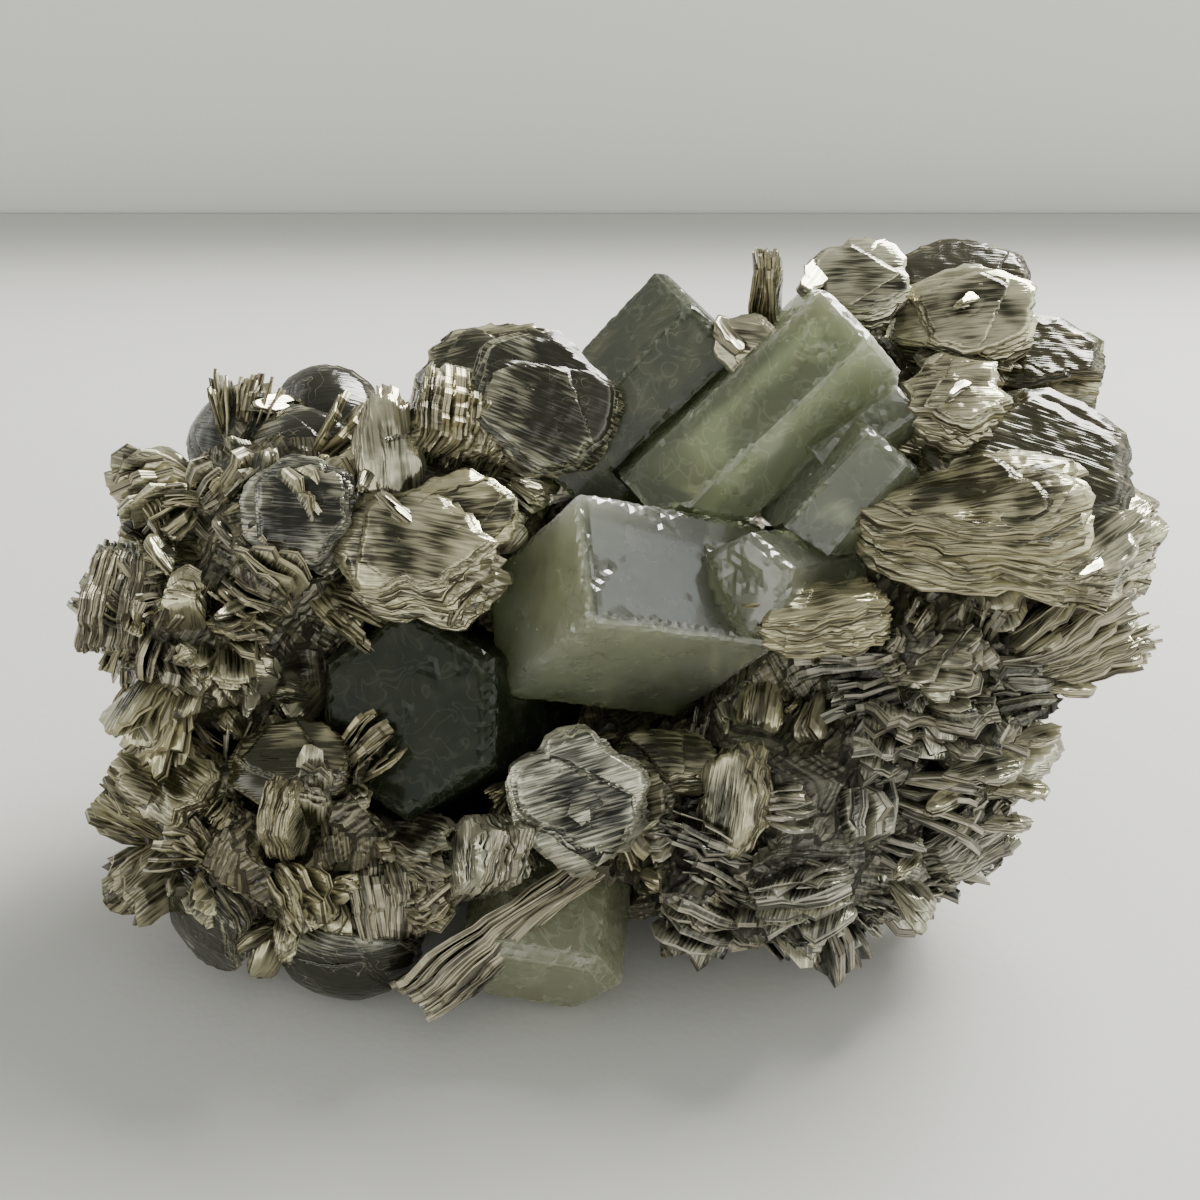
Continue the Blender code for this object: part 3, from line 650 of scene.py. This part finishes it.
def grown_books():
    """Places of the part's small books: lump, centre, axes, half width, half height, thickness."""
    draw = random.Random(BOOK_SEED)
    for number, lump in enumerate(LUMPS):
        centre, radii, tilt, count, stand, size = lump
        turn = Matrix.Rotation(math.radians(-tilt), 3, "Y")
        for i in range(count):
            height = 1 - 2 * (i + 0.5) / count
            swing = GOLDEN_ANGLE * i + draw.uniform(-0.5, 0.5)
            ring = math.sqrt(1 - height * height)
            unit = Vector((ring * math.cos(swing), ring * math.sin(swing), height))
            spot = Vector(centre) + turn @ Vector(unit[k] * radii[k] for k in range(3))
            outward = (turn @ Vector(unit[k] / radii[k] for k in range(3))).normalized()
            stray = Vector(draw.uniform(-1, 1) for _ in range(3))
            seat, thinnest, thickest = STANDS[stand]
            width, height = size * draw.uniform(0.8, 1.25), size * draw.uniform(0.6, 0.9)
            thick = size * draw.uniform(thinnest, thickest)
            out = standing(stand, spot, outward, stray)
            hidden = any(in_lump(spot, other, 1.02) for other in LUMPS if other is not lump)
            if hidden or spot.z < LOWEST_BOOK or outward.z < STEEPEST_UNDERSIDE:
                continue
            across = (outward - outward.dot(out) * out).normalized()
            spot += seat * size * outward
            yield number, spot, (across, out.cross(across), out), width, height, thick


def layered(spot, stray):
    """The way that a leaf faces in the right side's fan: across its spoke, tipped back."""
    lift = math.atan2(spot.z - FAN_HINGE[1], spot.x - FAN_HINGE[0])
    return (Vector((-math.sin(lift), 0.45, math.cos(lift))) + 0.3 * stray).normalized()


def standing(stand, spot, outward, stray):
    """The way that a small book faces, from how the books of its lump stand."""
    if stand == "rosette":
        return (outward.cross(stray).normalized() + 0.45 * outward).normalized()
    if stand == "sheaf":
        lift = math.atan2(spot.z - FAN_HINGE[1], spot.x - FAN_HINGE[0])
        return (Vector((-math.sin(lift), -0.25, math.cos(lift))) + 0.25 * stray).normalized()
    return (0.7 * outward + Vector((0, 0, 0.45)) + 0.25 * stray).normalized()


def camera_spot():
    """The camera's place in the layout."""
    tilt = math.radians(CAMERA_ELEVATION)
    away = Vector((0, -math.cos(tilt), math.sin(tilt)))
    return Vector(CAMERA_AIM) + away * CAMERA_DISTANCE


def shining(spot):
    """The azimuth and elevation of a leaf that throws the main lamp's light into the camera."""
    lamp = Vector(LAMP_PLACE) / MM - Vector(spot)
    half = lamp.normalized() + (camera_spot() - Vector(spot)).normalized()
    half.normalize()
    return math.degrees(math.atan2(half.x, -half.y)), math.degrees(math.asin(half.z))


def rows_of(name):
    """The crystals of one node, the largest first."""
    return [row for row in CRYSTALS if row[0] == name]


def crystal_walls():
    """Each crystal's planes, as an array of normals and one of distances from the origin."""
    found = []
    for _, centre, turn, half_length, walls in CRYSTALS:
        across, up, out = facing(*turn)
        normals, reach = [out, -out], [half_length, half_length]
        for i, distance in enumerate(walls):
            angle = 2 * math.pi * i / len(walls)
            normals.append(math.cos(angle) * across + math.sin(angle) * up)
            reach.append(distance)
        normals = np.array([list(normal) for normal in normals])
        found.append((normals, np.array(reach) + normals @ np.array(centre)))
    return found


WALLS = crystal_walls()


def depth_in_crystals(points):
    """How deep each point is inside the nearest crystal, in millimetres. Outside is negative."""
    deepest = np.full(len(points), -1e9)
    for normals, reach in WALLS:
        deepest = np.maximum(deepest, (reach - points @ normals.T).min(axis=1))
    return deepest


def on_large_book(point):
    """Whether a small book's seat would hide a large book's face."""
    for row in BOOKS:
        centre, turn, across, up, thick = row[1:6]
        axes = facing(*turn)
        local = [(Vector(point) - Vector(centre)).dot(axis) for axis in axes]
        if abs(local[0]) < 0.85 * across and abs(local[1]) < 0.85 * up:
            if -thick < local[2] < 2.2:
                return True
    return False


# Properties


def length(name, text, default):
    return bpy.props.FloatProperty(name=name, description=text, default=default, unit="LENGTH",
                                   precision=5)


def amount(name, text, default):
    return bpy.props.FloatProperty(name=name, description=text, default=default)


def colour(name, text, default):
    return bpy.props.FloatVectorProperty(name=name, description=text, default=default,
                                         subtype="COLOR", size=3, min=0, max=1)


class MicaLook(bpy.types.PropertyGroup):
    edge_colour: colour("Leaf edge", "Cream lines on a warm book's edge", (0.40, 0.355, 0.205))
    # The groove colours are the brown of the mica and painted shade in the gaps between its leaves.
    groove_shade_colour: colour("Groove", "Brown lines between them", (0.032, 0.024, 0.010))
    grey_edge_colour: colour("Grey leaf edge", "Pale lines on a grey book", (0.34, 0.315, 0.26))
    grey_groove_shade_colour: colour("Grey groove", "Dark lines on a grey book", (0.020, 0.018, 0.013))
    smoke_colour: colour("Smoky face", "Darkest grey face", (0.013, 0.014, 0.010))
    olive_colour: colour("Olive face", "Darkest warm face", (0.030, 0.026, 0.010))
    silver_colour: colour("Silver face", "Palest grey face", (0.50, 0.485, 0.38))
    honey_colour: colour("Honey face", "Palest warm face", (0.46, 0.425, 0.255))
    scratch_colour: colour("Scratch", "Scratches and flecks", (0.60, 0.57, 0.43))
    # Painted shade: the mass under and between the books is darkened towards this colour.
    mass_shade_colour: colour("Deep mass", "Dark of the mass", (0.010, 0.009, 0.006))
    line_depth: length("Line depth", "Relief of the leaf lines", 0.0002)
    shine_lift: length("Shine lift", "How far a shining leaf stands off what it lies on", 0.0004)
    mass_grain: length("Mass grain", "Cell size of the broken mass", 0.0006)
    flakes: bpy.props.IntProperty(name="Flakes", description="Small books tried on each lump",
                                  default=130)


class AquamarineLook(bpy.types.PropertyGroup):
    depth_colour: colour("Depth", "Colour that a thick crystal keeps", (0.58, 0.65, 0.46))
    frost_colour: colour("Frost", "Etched skin and wisps", (0.62, 0.65, 0.49))
    clear_colour: colour("Clear end", "Clearest part of a crystal", (0.03, 0.034, 0.022))
    mottle_colour: colour("Mottle", "Brownish clouds inside", (0.26, 0.24, 0.13))
    etch_depth: length("Etch depth", "Relief of the etched skin", 0.00025)
    etch_width: length("Etch width", "Width of the etched bands along the edges", 0.0005)
    facet: length("Facet", "Size of the small facets of the etched skin", 0.0006)


class StageLook(bpy.types.PropertyGroup):
    floor_colour: colour("Floor", "The sheet under the specimen", (0.55, 0.55, 0.53))
    wall_colour: colour("Wall", "The low wall behind", (0.62, 0.625, 0.60))
    wall_distance: length("Wall distance", "From the specimen's middle to the wall", 0.1687)
    seam_width: length("Seam", "Dark gap between the floor and the wall", 0.001)
    wall_height: length("Wall height", "Height of the low wall", 0.046)
    lamp_power: amount("Lamp", "Main lamp, in watts", 13.5)
    pane_power: amount("Pane", "Cool small window, in watts", 0.008)
    sky_sides: amount("Sides", "Light from all round", 3.7)
    sky_top: amount("Top", "Light from straight above", 0.52)
    sky_front: amount("Front", "Front's share of the light", 0.7)
    sky_behind: amount("Behind", "Light low down behind", 0.55)
    sky_below: amount("Below", "Light under the horizon", 0.2)


# Pieces


def settle(piece, *nodes):
    """Every piece rides on the one body; some stand for solids of the part."""
    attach(piece, ROOT)
    if nodes:
        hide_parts(*nodes)
    return piece


class SPECIMEN_OT_stage(bpy.types.Operator):
    """Adds the floor, the wall behind, the lights and the camera"""

    bl_idname = "specimen.stage"
    bl_label = "Stage"

    def execute(self, context):
        look = context.scene.specimen_stage
        aim = in_frame(CAMERA_AIM)
        tilt = math.radians(CAMERA_ELEVATION)
        data = bpy.data.cameras.new("camera")
        camera = bpy.data.objects.new("camera", data)
        context.scene.collection.objects.link(camera)
        camera.location = in_frame(camera_spot())
        camera.rotation_euler = (math.pi / 2 - tilt, 0, 0)
        data.sensor_fit = "HORIZONTAL"
        data.angle = math.radians(FIELD_OF_VIEW)
        data.shift_x = (FRAME_WIDTH / 2 - AIM_PIXEL[0]) / FRAME_WIDTH
        data.shift_y = (AIM_PIXEL[1] - FRAME_WIDTH / 2) / FRAME_WIDTH
        data.clip_start = 0.01
        context.scene.camera = camera
        self.sheets(context, look)
        self.lights(context, look, aim)
        return {"FINISHED"}

    def sheets(self, context, look):
        for name, shade in (("floor", look.floor_colour), ("wall", look.wall_colour)):
            paint = Paint(f"stage_{name}", Base_Color=shade, Roughness=0.8)
            place = paint.node("ShaderNodeTexCoord", out=3)
            paint.set(Normal=paint.bump(paint.noise(place, 900.0, 1.0, 0.6), 0.15, 0.0002))
            mesh = bpy.data.meshes.new(name)
            bm = bmesh.new()
            bmesh.ops.create_grid(bm, x_segments=4, y_segments=4, size=1.0)
            if name == "wall":
                bmesh.ops.scale(bm, verts=bm.verts, vec=(1, look.wall_height / 2, 1))
                bmesh.ops.rotate(bm, verts=bm.verts, matrix=Matrix.Rotation(math.pi / 2, 3, "X"))
                spot = (0, look.wall_distance + look.seam_width, look.wall_height / 2 - 0.004)
            else:
                spot = (0, look.wall_distance - 1, 0)
            bmesh.ops.translate(bm, verts=bm.verts, vec=spot)
            bm.to_mesh(mesh)
            bm.free()
            mesh.materials.append(paint.material)
            sheet = bpy.data.objects.new(name, mesh)
            context.scene.collection.objects.link(sheet)

    def lights(self, context, look, aim):
        sky = Sky("sky")
        way = sky.node("ShaderNodeTexCoord")
        height = sky.node("ShaderNodeSeparateXYZ", sockets={0: way}, out=2)
        back = sky.node("ShaderNodeSeparateXYZ", sockets={0: way}, out=1)
        share = sky.step(height, 0.08, 0.72)
        glow = look.sky_sides + share * (look.sky_top - look.sky_sides)
        glow = glow * (look.sky_front + (1 - look.sky_front) * sky.step(back, -0.8, 0.1))
        behind = sky.step(back, 0.35, 0.75) * (1 - sky.step(height, 0.4, 0.6))
        glow = glow + behind * (look.sky_behind - glow)
        above = sky.step(height, -0.05, 0.0)
        sky.set(Color=(0.985, 0.99, 0.94),
                Strength=look.sky_below + above * (glow - look.sky_below))
        context.scene.world = sky.world
        lamps = (
            ("lamp_key", LAMP_PLACE, 0.34, 0.34, look.lamp_power, (1, 0.985, 0.93)),
            ("lamp_pane", PANE_PLACE, 0.040, 0.052, look.pane_power, (0.86, 0.94, 1)),
        )
        for name, place, wide, high, power, shade in lamps:
            data = bpy.data.lights.new(name, "AREA")
            data.shape = "RECTANGLE"
            data.size, data.size_y = wide, high
            data.energy = power
            data.color = shade
            lamp = bpy.data.objects.new(name, data)
            context.scene.collection.objects.link(lamp)
            lamp.location = place
            lamp.rotation_euler = (aim - Vector(place)).to_track_quat("-Z", "Y").to_euler()


def refined(bm, spacing):
    """Cuts every flat face into small triangles, so that it can take a relief."""
    for edge in list(bm.edges):
        cuts = int(edge.calc_length() / spacing)
        start, end = edge.verts
        for left in range(cuts, 0, -1):
            edge, start = bmesh.utils.edge_split(edge, start, 1 / (left + 1))
            edge = next(e for e in start.link_edges if end in e.verts) if left > 1 else edge
    for face in list(bm.faces):
        origin, normal = face.verts[0].co.copy(), face.normal.copy()
        side = normal.orthogonal().normalized()
        other = normal.cross(side)
        ring = list(face.verts)
        flat = [Vector(((v.co - origin).dot(side), (v.co - origin).dot(other))) for v in ring]
        low = [min(p[k] for p in flat) for k in range(2)]
        high = [max(p[k] for p in flat) for k in range(2)]
        inner = []
        rows = int((high[1] - low[1]) / (spacing * ROW_GAP))
        for i in range(1, rows + 1):
            for j in range(int((high[0] - low[0]) / spacing) + 1):
                along = low[0] + (j + 0.5 * (i % 2)) * spacing
                spot = Vector((along, low[1] + i * spacing * ROW_GAP))
                if inside_ring(spot, flat, spacing * 0.35):
                    inner.append(spot)
        bounds = [(i, (i + 1) % len(ring)) for i in range(len(ring))]
        spots, _, triangles, originals, _, _ = delaunay_2d_cdt(flat + inner, bounds, [], 1, 1e-9)
        verts = []
        for spot, sources in zip(spots, originals):
            source = min(sources) if sources else len(ring)
            if source < len(ring):
                verts.append(ring[source])
            else:
                verts.append(bm.verts.new(origin + spot[0] * side + spot[1] * other))
        index = face.material_index
        bm.faces.remove(face)
        for triangle in triangles:
            corners = [verts[k] for k in triangle]
            if len(set(corners)) == 3 and not bm.faces.get(corners):
                made = bm.faces.new(corners)
                made.material_index = index
                made.normal_update()
                if made.normal.dot(normal) < 0:
                    made.normal_flip()


def inside_ring(spot, ring, margin):
    """Whether a flat point is inside a polygon and no nearer to its border than the margin."""
    inside = False
    for first, second in zip(ring, ring[1:] + ring[:1]):
        run = second - first
        share = max(0, min(1, (spot - first).dot(run) / max(run.length_squared, 1e-18)))
        if (spot - first - share * run).length < margin:
            return False
        if (first[1] > spot[1]) != (second[1] > spot[1]):
            if spot[0] < first[0] + run[0] * (spot[1] - first[1]) / run[1]:
                inside = not inside
    return inside


class SPECIMEN_OT_crystals(bpy.types.Operator):
    """Makes the clear crystals, with sharp walls and etched bands along their edges"""

    bl_idname = "specimen.crystals"
    bl_label = "Aquamarines"

    def execute(self, context):
        look = context.scene.specimen_aquamarine
        for name in dict.fromkeys(row[0] for row in CRYSTALS):
            piece = self.crystal(name, look)
            context.scene.collection.objects.link(piece)
            settle(piece, name)
        return {"FINISHED"}

    def crystal(self, name, look):
        bm = bmesh.new()
        bm.from_mesh(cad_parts[name].data)
        bmesh.ops.remove_doubles(bm, verts=bm.verts, dist=2e-5)
        bmesh.ops.dissolve_limit(bm, angle_limit=math.radians(1.5), verts=bm.verts,
                                 edges=bm.edges)
        bm.normal_update()
        creases = []
        for edge in bm.edges:
            if len(edge.link_faces) == 2 and edge.calc_face_angle(0) > CREASE_ANGLE:
                creases.append((np.array(edge.verts[0].co), np.array(edge.verts[1].co)))
        refined(bm, look.facet)
        bm.normal_update()
        bm.verts.ensure_lookup_table()
        points = np.array([v.co for v in bm.verts])
        normals = np.array([v.normal for v in bm.verts])
        draw = np.random.default_rng(sum(map(ord, name)))
        etch = self.etched(draw, name, points, creases, look.etch_width)
        for vert, worn, deep in zip(bm.verts, etch, draw.random(len(points))):
            vert.co -= vert.normal * look.etch_depth * worn * (0.3 + deep)
        mesh = bpy.data.meshes.new(name + "_clear")
        bm.to_mesh(mesh)
        bm.free()
        point_data(mesh, "etch", "FLOAT", "value", etch)
        axes = np.array([list(axis) for axis in facing(*rows_of(name)[0][2])])
        point_data(mesh, "crystal_place", "FLOAT_VECTOR", "vector", points / MM @ axes.T)
        clear = self.clear_end(name, points, normals @ axes[2])
        point_data(mesh, "clear", "FLOAT", "value", clear)
        mesh.materials.append(aquamarine_paint(name + "_glass", look, *FINISHES[name]))
        print(name, len(mesh.polygons), "triangles")
        return bpy.data.objects.new(name + "_clear", mesh)

    def etched(self, draw, name, points, creases, width):
        """How much each point is etched: along the edges, in places and in scattered pits."""
        nearest = np.full(len(points), 1.0)
        for start, end in creases:
            run = end - start
            share = np.clip((points - start) @ run / max(run @ run, 1e-12), 0, 1)
            gap = np.linalg.norm(points - start - share[:, None] * run, axis=1)
            nearest = np.minimum(nearest, gap)
        offset = Vector(draw.uniform(0, 99, 3))
        patch = np.array([noise.fractal(Vector(p) * 190 + offset, 0.8, 2.0, 3) for p in points])
        reach = width * (0.2 + np.clip(0.2 + 1.8 * patch, 0, 2.5))
        etch = 0.8 * np.exp(-((nearest / reach) ** 2))
        for centre, size in ETCHED.get(name, ()):
            gap = np.linalg.norm(points - np.array(in_frame(centre)), axis=1) / (size * MM)
            etch = np.maximum(etch, 1.6 * np.clip(1.3 - 1.3 * gap - patch, 0, 1))
        return np.maximum(etch, np.clip(patch * 3.0 - 1.6, 0, 0.4))

    def clear_end(self, name, points, towards_end):
        """How clear each point is: the end of the largest crystal, and some of the smaller."""
        clear = CLEAR_ENDS.get(name, 0.0) * np.clip(towards_end * 3 - 1.9, 0, 1)
        for row in rows_of(name)[1:] if clear.any() else ():
            gap = np.linalg.norm(points - np.array(in_frame(row[1])), axis=1) / MM
            clear = np.where(gap < 1.02 * math.hypot(row[3], row[4][0]), CLEAR_SIDE, clear)
        return clear


class SPECIMEN_OT_large_books(bpy.types.Operator):
    """Makes the large books of mica, one piece for each solid of the part"""

    bl_idname = "specimen.large_books"
    bl_label = "Large books"

    def execute(self, context):
        material = bpy.data.materials["book_mica_leaves"]
        for number, row in enumerate(BOOKS):
            name, centre, turn = row[:3]
            pile = Pile()
            draw = np.random.default_rng(100 + number)
            across, up, thick, fan, curl, leaves, ragged, flutter, pale, warm = row[3:]
            form = DOMED if curl > DOME_CURL else FLAT
            book = leaf_book(draw, across, up, thick, int(leaves * 1.35), 44, fan,
                             curl * form["curl"], ragged, flutter * 0.5, form["roundness"],
                             covers=4, lens=form["lens"], full=1.0, sway=0.4)
            put(pile, draw, book, centre, facing(*turn), pale, warm)
            piece = settle(pile.make(name + "_leaves", material), name)
        return {"FINISHED"}


class SPECIMEN_OT_mass(bpy.types.Operator):
    """Makes the mass that the books grow on, broken into blocks of leaves and painted darker as the
    shade under the books
    """

    bl_idname = "specimen.mass"
    bl_label = "Mass"

    def execute(self, context):
        look = context.scene.specimen_mica
        piece = bpy.data.objects.new("mica_mass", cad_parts["mica_matrix"].data.copy())
        context.scene.collection.objects.link(piece)
        remesh = piece.modifiers.new("remesh", "REMESH")
        remesh.mode = "VOXEL"
        remesh.voxel_size = look.mass_grain
        graph = context.evaluated_depsgraph_get()
        mesh = bpy.data.meshes.new_from_object(piece.evaluated_get(graph))
        piece.modifiers.clear()
        piece.data = mesh
        self.break_up(mesh, *self.blocks())
        mesh.materials.clear()
        # The mass is painted 0.45 of the way towards its shade colour, as the shade under and
        # between the books.
        mesh.materials.append(mica_paint("matrix_mica_shaded_leaves", look, 0.55))
        mesh.polygons.foreach_set("use_smooth", np.zeros(len(mesh.polygons), bool))
        print("mica_mass", 2 * len(mesh.polygons), "triangles")
        settle(piece, "mica_matrix")
        return {"FINISHED"}

    def blocks(self):
        """Seeds of the blocks that the mass splits into, with the axes and tone of each."""
        draw = np.random.default_rng(3)
        noise.seed_set(3)  # otherwise noise_vector takes its offsets from the clock
        tree, rows = kdtree.KDTree(len(LUMPS) * BLOCKS_A_LUMP), []
        for number, (centre, radii, tilt, _, stand, _) in enumerate(LUMPS):
            turn = Matrix.Rotation(math.radians(-tilt), 3, "Y")
            for _ in range(BLOCKS_A_LUMP):
                unit = Vector(draw.normal(size=3)).normalized()
                scale = float(draw.uniform(0.8, 1.05))
                spot = Vector(centre) + turn @ Vector(unit[k] * radii[k] * scale for k in range(3))
                outward = (turn @ Vector(unit[k] / radii[k] for k in range(3))).normalized()
                out = standing(stand, spot, outward, Vector(draw.uniform(-1, 1, 3)))
                across = (outward - outward.dot(out) * out).normalized()
                tree.insert(spot, len(rows))
                tone = (draw.uniform(0.1, 0.6), mica_warmth(draw, number), draw.random())
                rows.append((spot, (across, out.cross(across), out), draw.uniform(0.3, 1.7), tone))
        tree.balance()
        return tree, rows

    def break_up(self, mesh, tree, rows):
        places, tones = np.zeros((len(mesh.vertices), 3)), np.ones((len(mesh.vertices), 4))
        for vert, normal in zip(mesh.vertices, mesh.vertex_normals):
            spot = Vector(vert.co) / MM + BASE_CENTRE
            centre, axes, sunk, tone = rows[tree.find(spot + noise.noise_vector(spot * 0.45))[1]]
            local = Vector((spot - centre).dot(axis) for axis in axes)
            ledge = (local.z / LEDGE + 0.5 * noise.noise(spot * 0.6)) % 1.0
            places[vert.index] = local
            tones[vert.index, :3] = tone
            if vert.co.z > CUT_CLEARANCE:
                vert.co -= Vector(normal.vector) * (sunk + 0.35 * ledge) * MM
        point_data(mesh, "leaf_place", "FLOAT_VECTOR", "vector", places)
        point_data(mesh, "leaf_tone", "FLOAT_COLOR", "color", tones)
        point_data(mesh, "leaf_edge", "FLOAT", "value", np.full(len(mesh.vertices), 0.85))


def point_data(mesh, name, kind, field, values):
    mesh.attributes.new(name, kind, "POINT").data.foreach_set(field, values.ravel())


def mica_warmth(draw, number):
    """The right root is grey and the rest tan."""
    return draw.uniform(0.0, 0.4) if number in GREY_LUMPS else draw.uniform(0.5, 1.0)


class SPECIMEN_OT_small_books(bpy.types.Operator):
    """Makes the small books and flakes that cover the mass, one piece for each lump, and a piece of
    leaves that shine
    """

    bl_idname = "specimen.small_books"
    bl_label = "Small books"

    def execute(self, context):
        look = context.scene.specimen_mica
        material = bpy.data.materials["book_mica_leaves"]
        piles = [Pile() for _ in LUMPS]
        draw = np.random.default_rng(7)
        for number, spot, axes, across, up, thick in grown_books():
            pale, warm = self.tone(draw, number)
            if LUMPS[number][4] == "sheaf":
                spot -= axes[0] * SHEAF_SEAT
                out = layered(spot, 1.8 * Vector(draw.uniform(-1, 1, 3)))
                side = (axes[0] - axes[0].dot(out) * out).normalized()
                axes = (side, out.cross(side), out)
            leaves = max(5, int(thick / LEAF_PITCH))
            book = leaf_book(draw, across * 1.06, up * 1.06, thick * 0.9, leaves, 20,
                             draw.uniform(6, 30), 12, 0.2, 0.12, covers=1, full=0.85,
                             sway=4.5, taper=0.35, twist=5.0)
            put(piles[number], draw, book, spot, axes, pale, warm)
        for number, lump in enumerate(LUMPS):
            self.flakes(piles[number], draw, number, lump, look.flakes)
        for number, pile in enumerate(piles):
            if pile.total:
                piece = settle(pile.make(f"mica_leaves_{number:02d}", material))
                print(piece.name, pile.triangles(), "triangles")
        bright = self.shining_leaves(context, draw, look.shine_lift)
        settle(bright.make("mica_bright_leaves", material))
        return {"FINISHED"}

    def shining_leaves(self, context, draw, lift):
        """Thin books laid on what the camera sees there, and turned so that they shine."""
        pile = Pile()
        graph = context.evaluated_depsgraph_get()
        eye = in_frame(camera_spot())
        for point, across, up, roll in BRIGHT_LEAVES:
            way = (in_frame(point) - eye).normalized()
            found, place, _, _, under, _ = context.scene.ray_cast(graph, eye, way)
            if not found or under.name in ("floor", "wall"):
                continue
            centre = (place - way * lift) / MM + BASE_CENTRE
            turn = (*(angle + draw.uniform(-3, 3) for angle in shining(centre)), roll)
            book = leaf_book(draw, across * 1.15, up * 1.15, 1.0, 5, 18, 2, 3, 0.3, 0.02, 0.0,
                             covers=1, sway=0.5, taper=0.4)
            put(pile, draw, book, centre, facing(*turn), 1.0, draw.uniform(0.2, 0.6))
        return pile

    def tone(self, draw, number):
        """Paleness and warmth of a small book."""
        low = 0.15 if number in GREY_LUMPS else 0.35
        return draw.uniform(low, 1.0), mica_warmth(draw, number)

    def flakes(self, pile, draw, number, lump, count):
        centre, radii, tilt, _, stand, size = lump
        turn = Matrix.Rotation(math.radians(-tilt), 3, "Y")
        for i in range(count):
            unit = Vector(draw.normal(size=3)).normalized()
            spot = Vector(centre) + turn @ Vector(unit[k] * radii[k] for k in range(3))
            outward = (turn @ Vector(unit[k] / radii[k] for k in range(3))).normalized()
            stray = Vector(draw.uniform(-1, 1, 3))
            shines = i % SHINING_ONE_IN == 0
            if shines:
                out = (facing(*shining(spot))[2] + 0.08 * stray).normalized()
            elif stand == "sheaf":
                out = layered(spot, 3.0 * stray)
            else:
                out = standing(stand, spot, outward, stray)
            if stand == "rosette":
                lean = 0.0 if shines else draw.uniform(-0.2, 0.9)
                out = (out + lean * outward).normalized()
            across_axis = (outward - outward.dot(out) * out).normalized()
            across = size * draw.uniform(0.35, 0.9)
            up = across * draw.uniform(0.45, 0.9)
            thick = across * draw.uniform(0.15, 0.45)
            leaves = int(draw.integers(4, 9))
            fan = draw.uniform(5, 40) * (SHINING_FAN if shines else 1)
            pale, warm = self.tone(draw, number)
            if any(in_lump(spot, other, 0.97) for other in LUMPS if other is not lump):
                continue
            if spot.z < 3.0 or outward.z < -0.8 or on_large_book(spot):
                continue
            spot += outward * (draw.uniform(*STICK_OUT[stand]) - across)
            book = leaf_book(draw, across, up, thick, leaves, 14, fan, 14, 0.2, 0.14, full=0.8,
                             sway=5.0, taper=0.45, twist=5.0)
            axes = (across_axis, out.cross(across_axis), out)
            turned = book[0][1].reshape(-1, 3) @ np.array([list(axis) for axis in axes])
            turned += np.array(spot)
            if depth_in_crystals(turned).max() > -0.15 or turned[:, 2].min() < 0.3:
                continue
            put(pile, draw, book, spot, axes, pale, warm)


class SPECIMEN_PT_panel(bpy.types.Panel):
    """Lists the specimen's pieces and their settings"""

    bl_label = "Specimen"
    bl_idname = "SPECIMEN_PT_panel"
    bl_space_type = "VIEW_3D"
    bl_region_type = "UI"
    bl_category = "Specimen"

    def draw(self, context):
        for operator in OPERATORS:
            self.layout.operator(operator.bl_idname)
        for name in ("specimen_mica", "specimen_aquamarine", "specimen_stage"):
            group = getattr(context.scene, name)
            for field in group.__annotations__:
                self.layout.prop(group, field)


OPERATORS = (
    SPECIMEN_OT_stage,
    SPECIMEN_OT_crystals,
    SPECIMEN_OT_large_books,
    SPECIMEN_OT_mass,
    SPECIMEN_OT_small_books,
)
CLASSES = (MicaLook, AquamarineLook, StageLook, *OPERATORS, SPECIMEN_PT_panel)


def register():
    for item in CLASSES:
        bpy.utils.register_class(item)
    bpy.types.Scene.specimen_mica = bpy.props.PointerProperty(type=MicaLook)
    bpy.types.Scene.specimen_aquamarine = bpy.props.PointerProperty(type=AquamarineLook)
    bpy.types.Scene.specimen_stage = bpy.props.PointerProperty(type=StageLook)


def unregister():
    for name in ("specimen_mica", "specimen_aquamarine", "specimen_stage"):
        delattr(bpy.types.Scene, name)
    for item in reversed(CLASSES):
        bpy.utils.unregister_class(item)


def main():
    register()
    mica_paint("book_mica_leaves", bpy.context.scene.specimen_mica)
    bpy.ops.specimen.stage()
    bpy.ops.specimen.crystals()
    bpy.ops.specimen.large_books()
    bpy.ops.specimen.mass()
    bpy.ops.specimen.small_books()


if __name__ == "__main__":
    main()
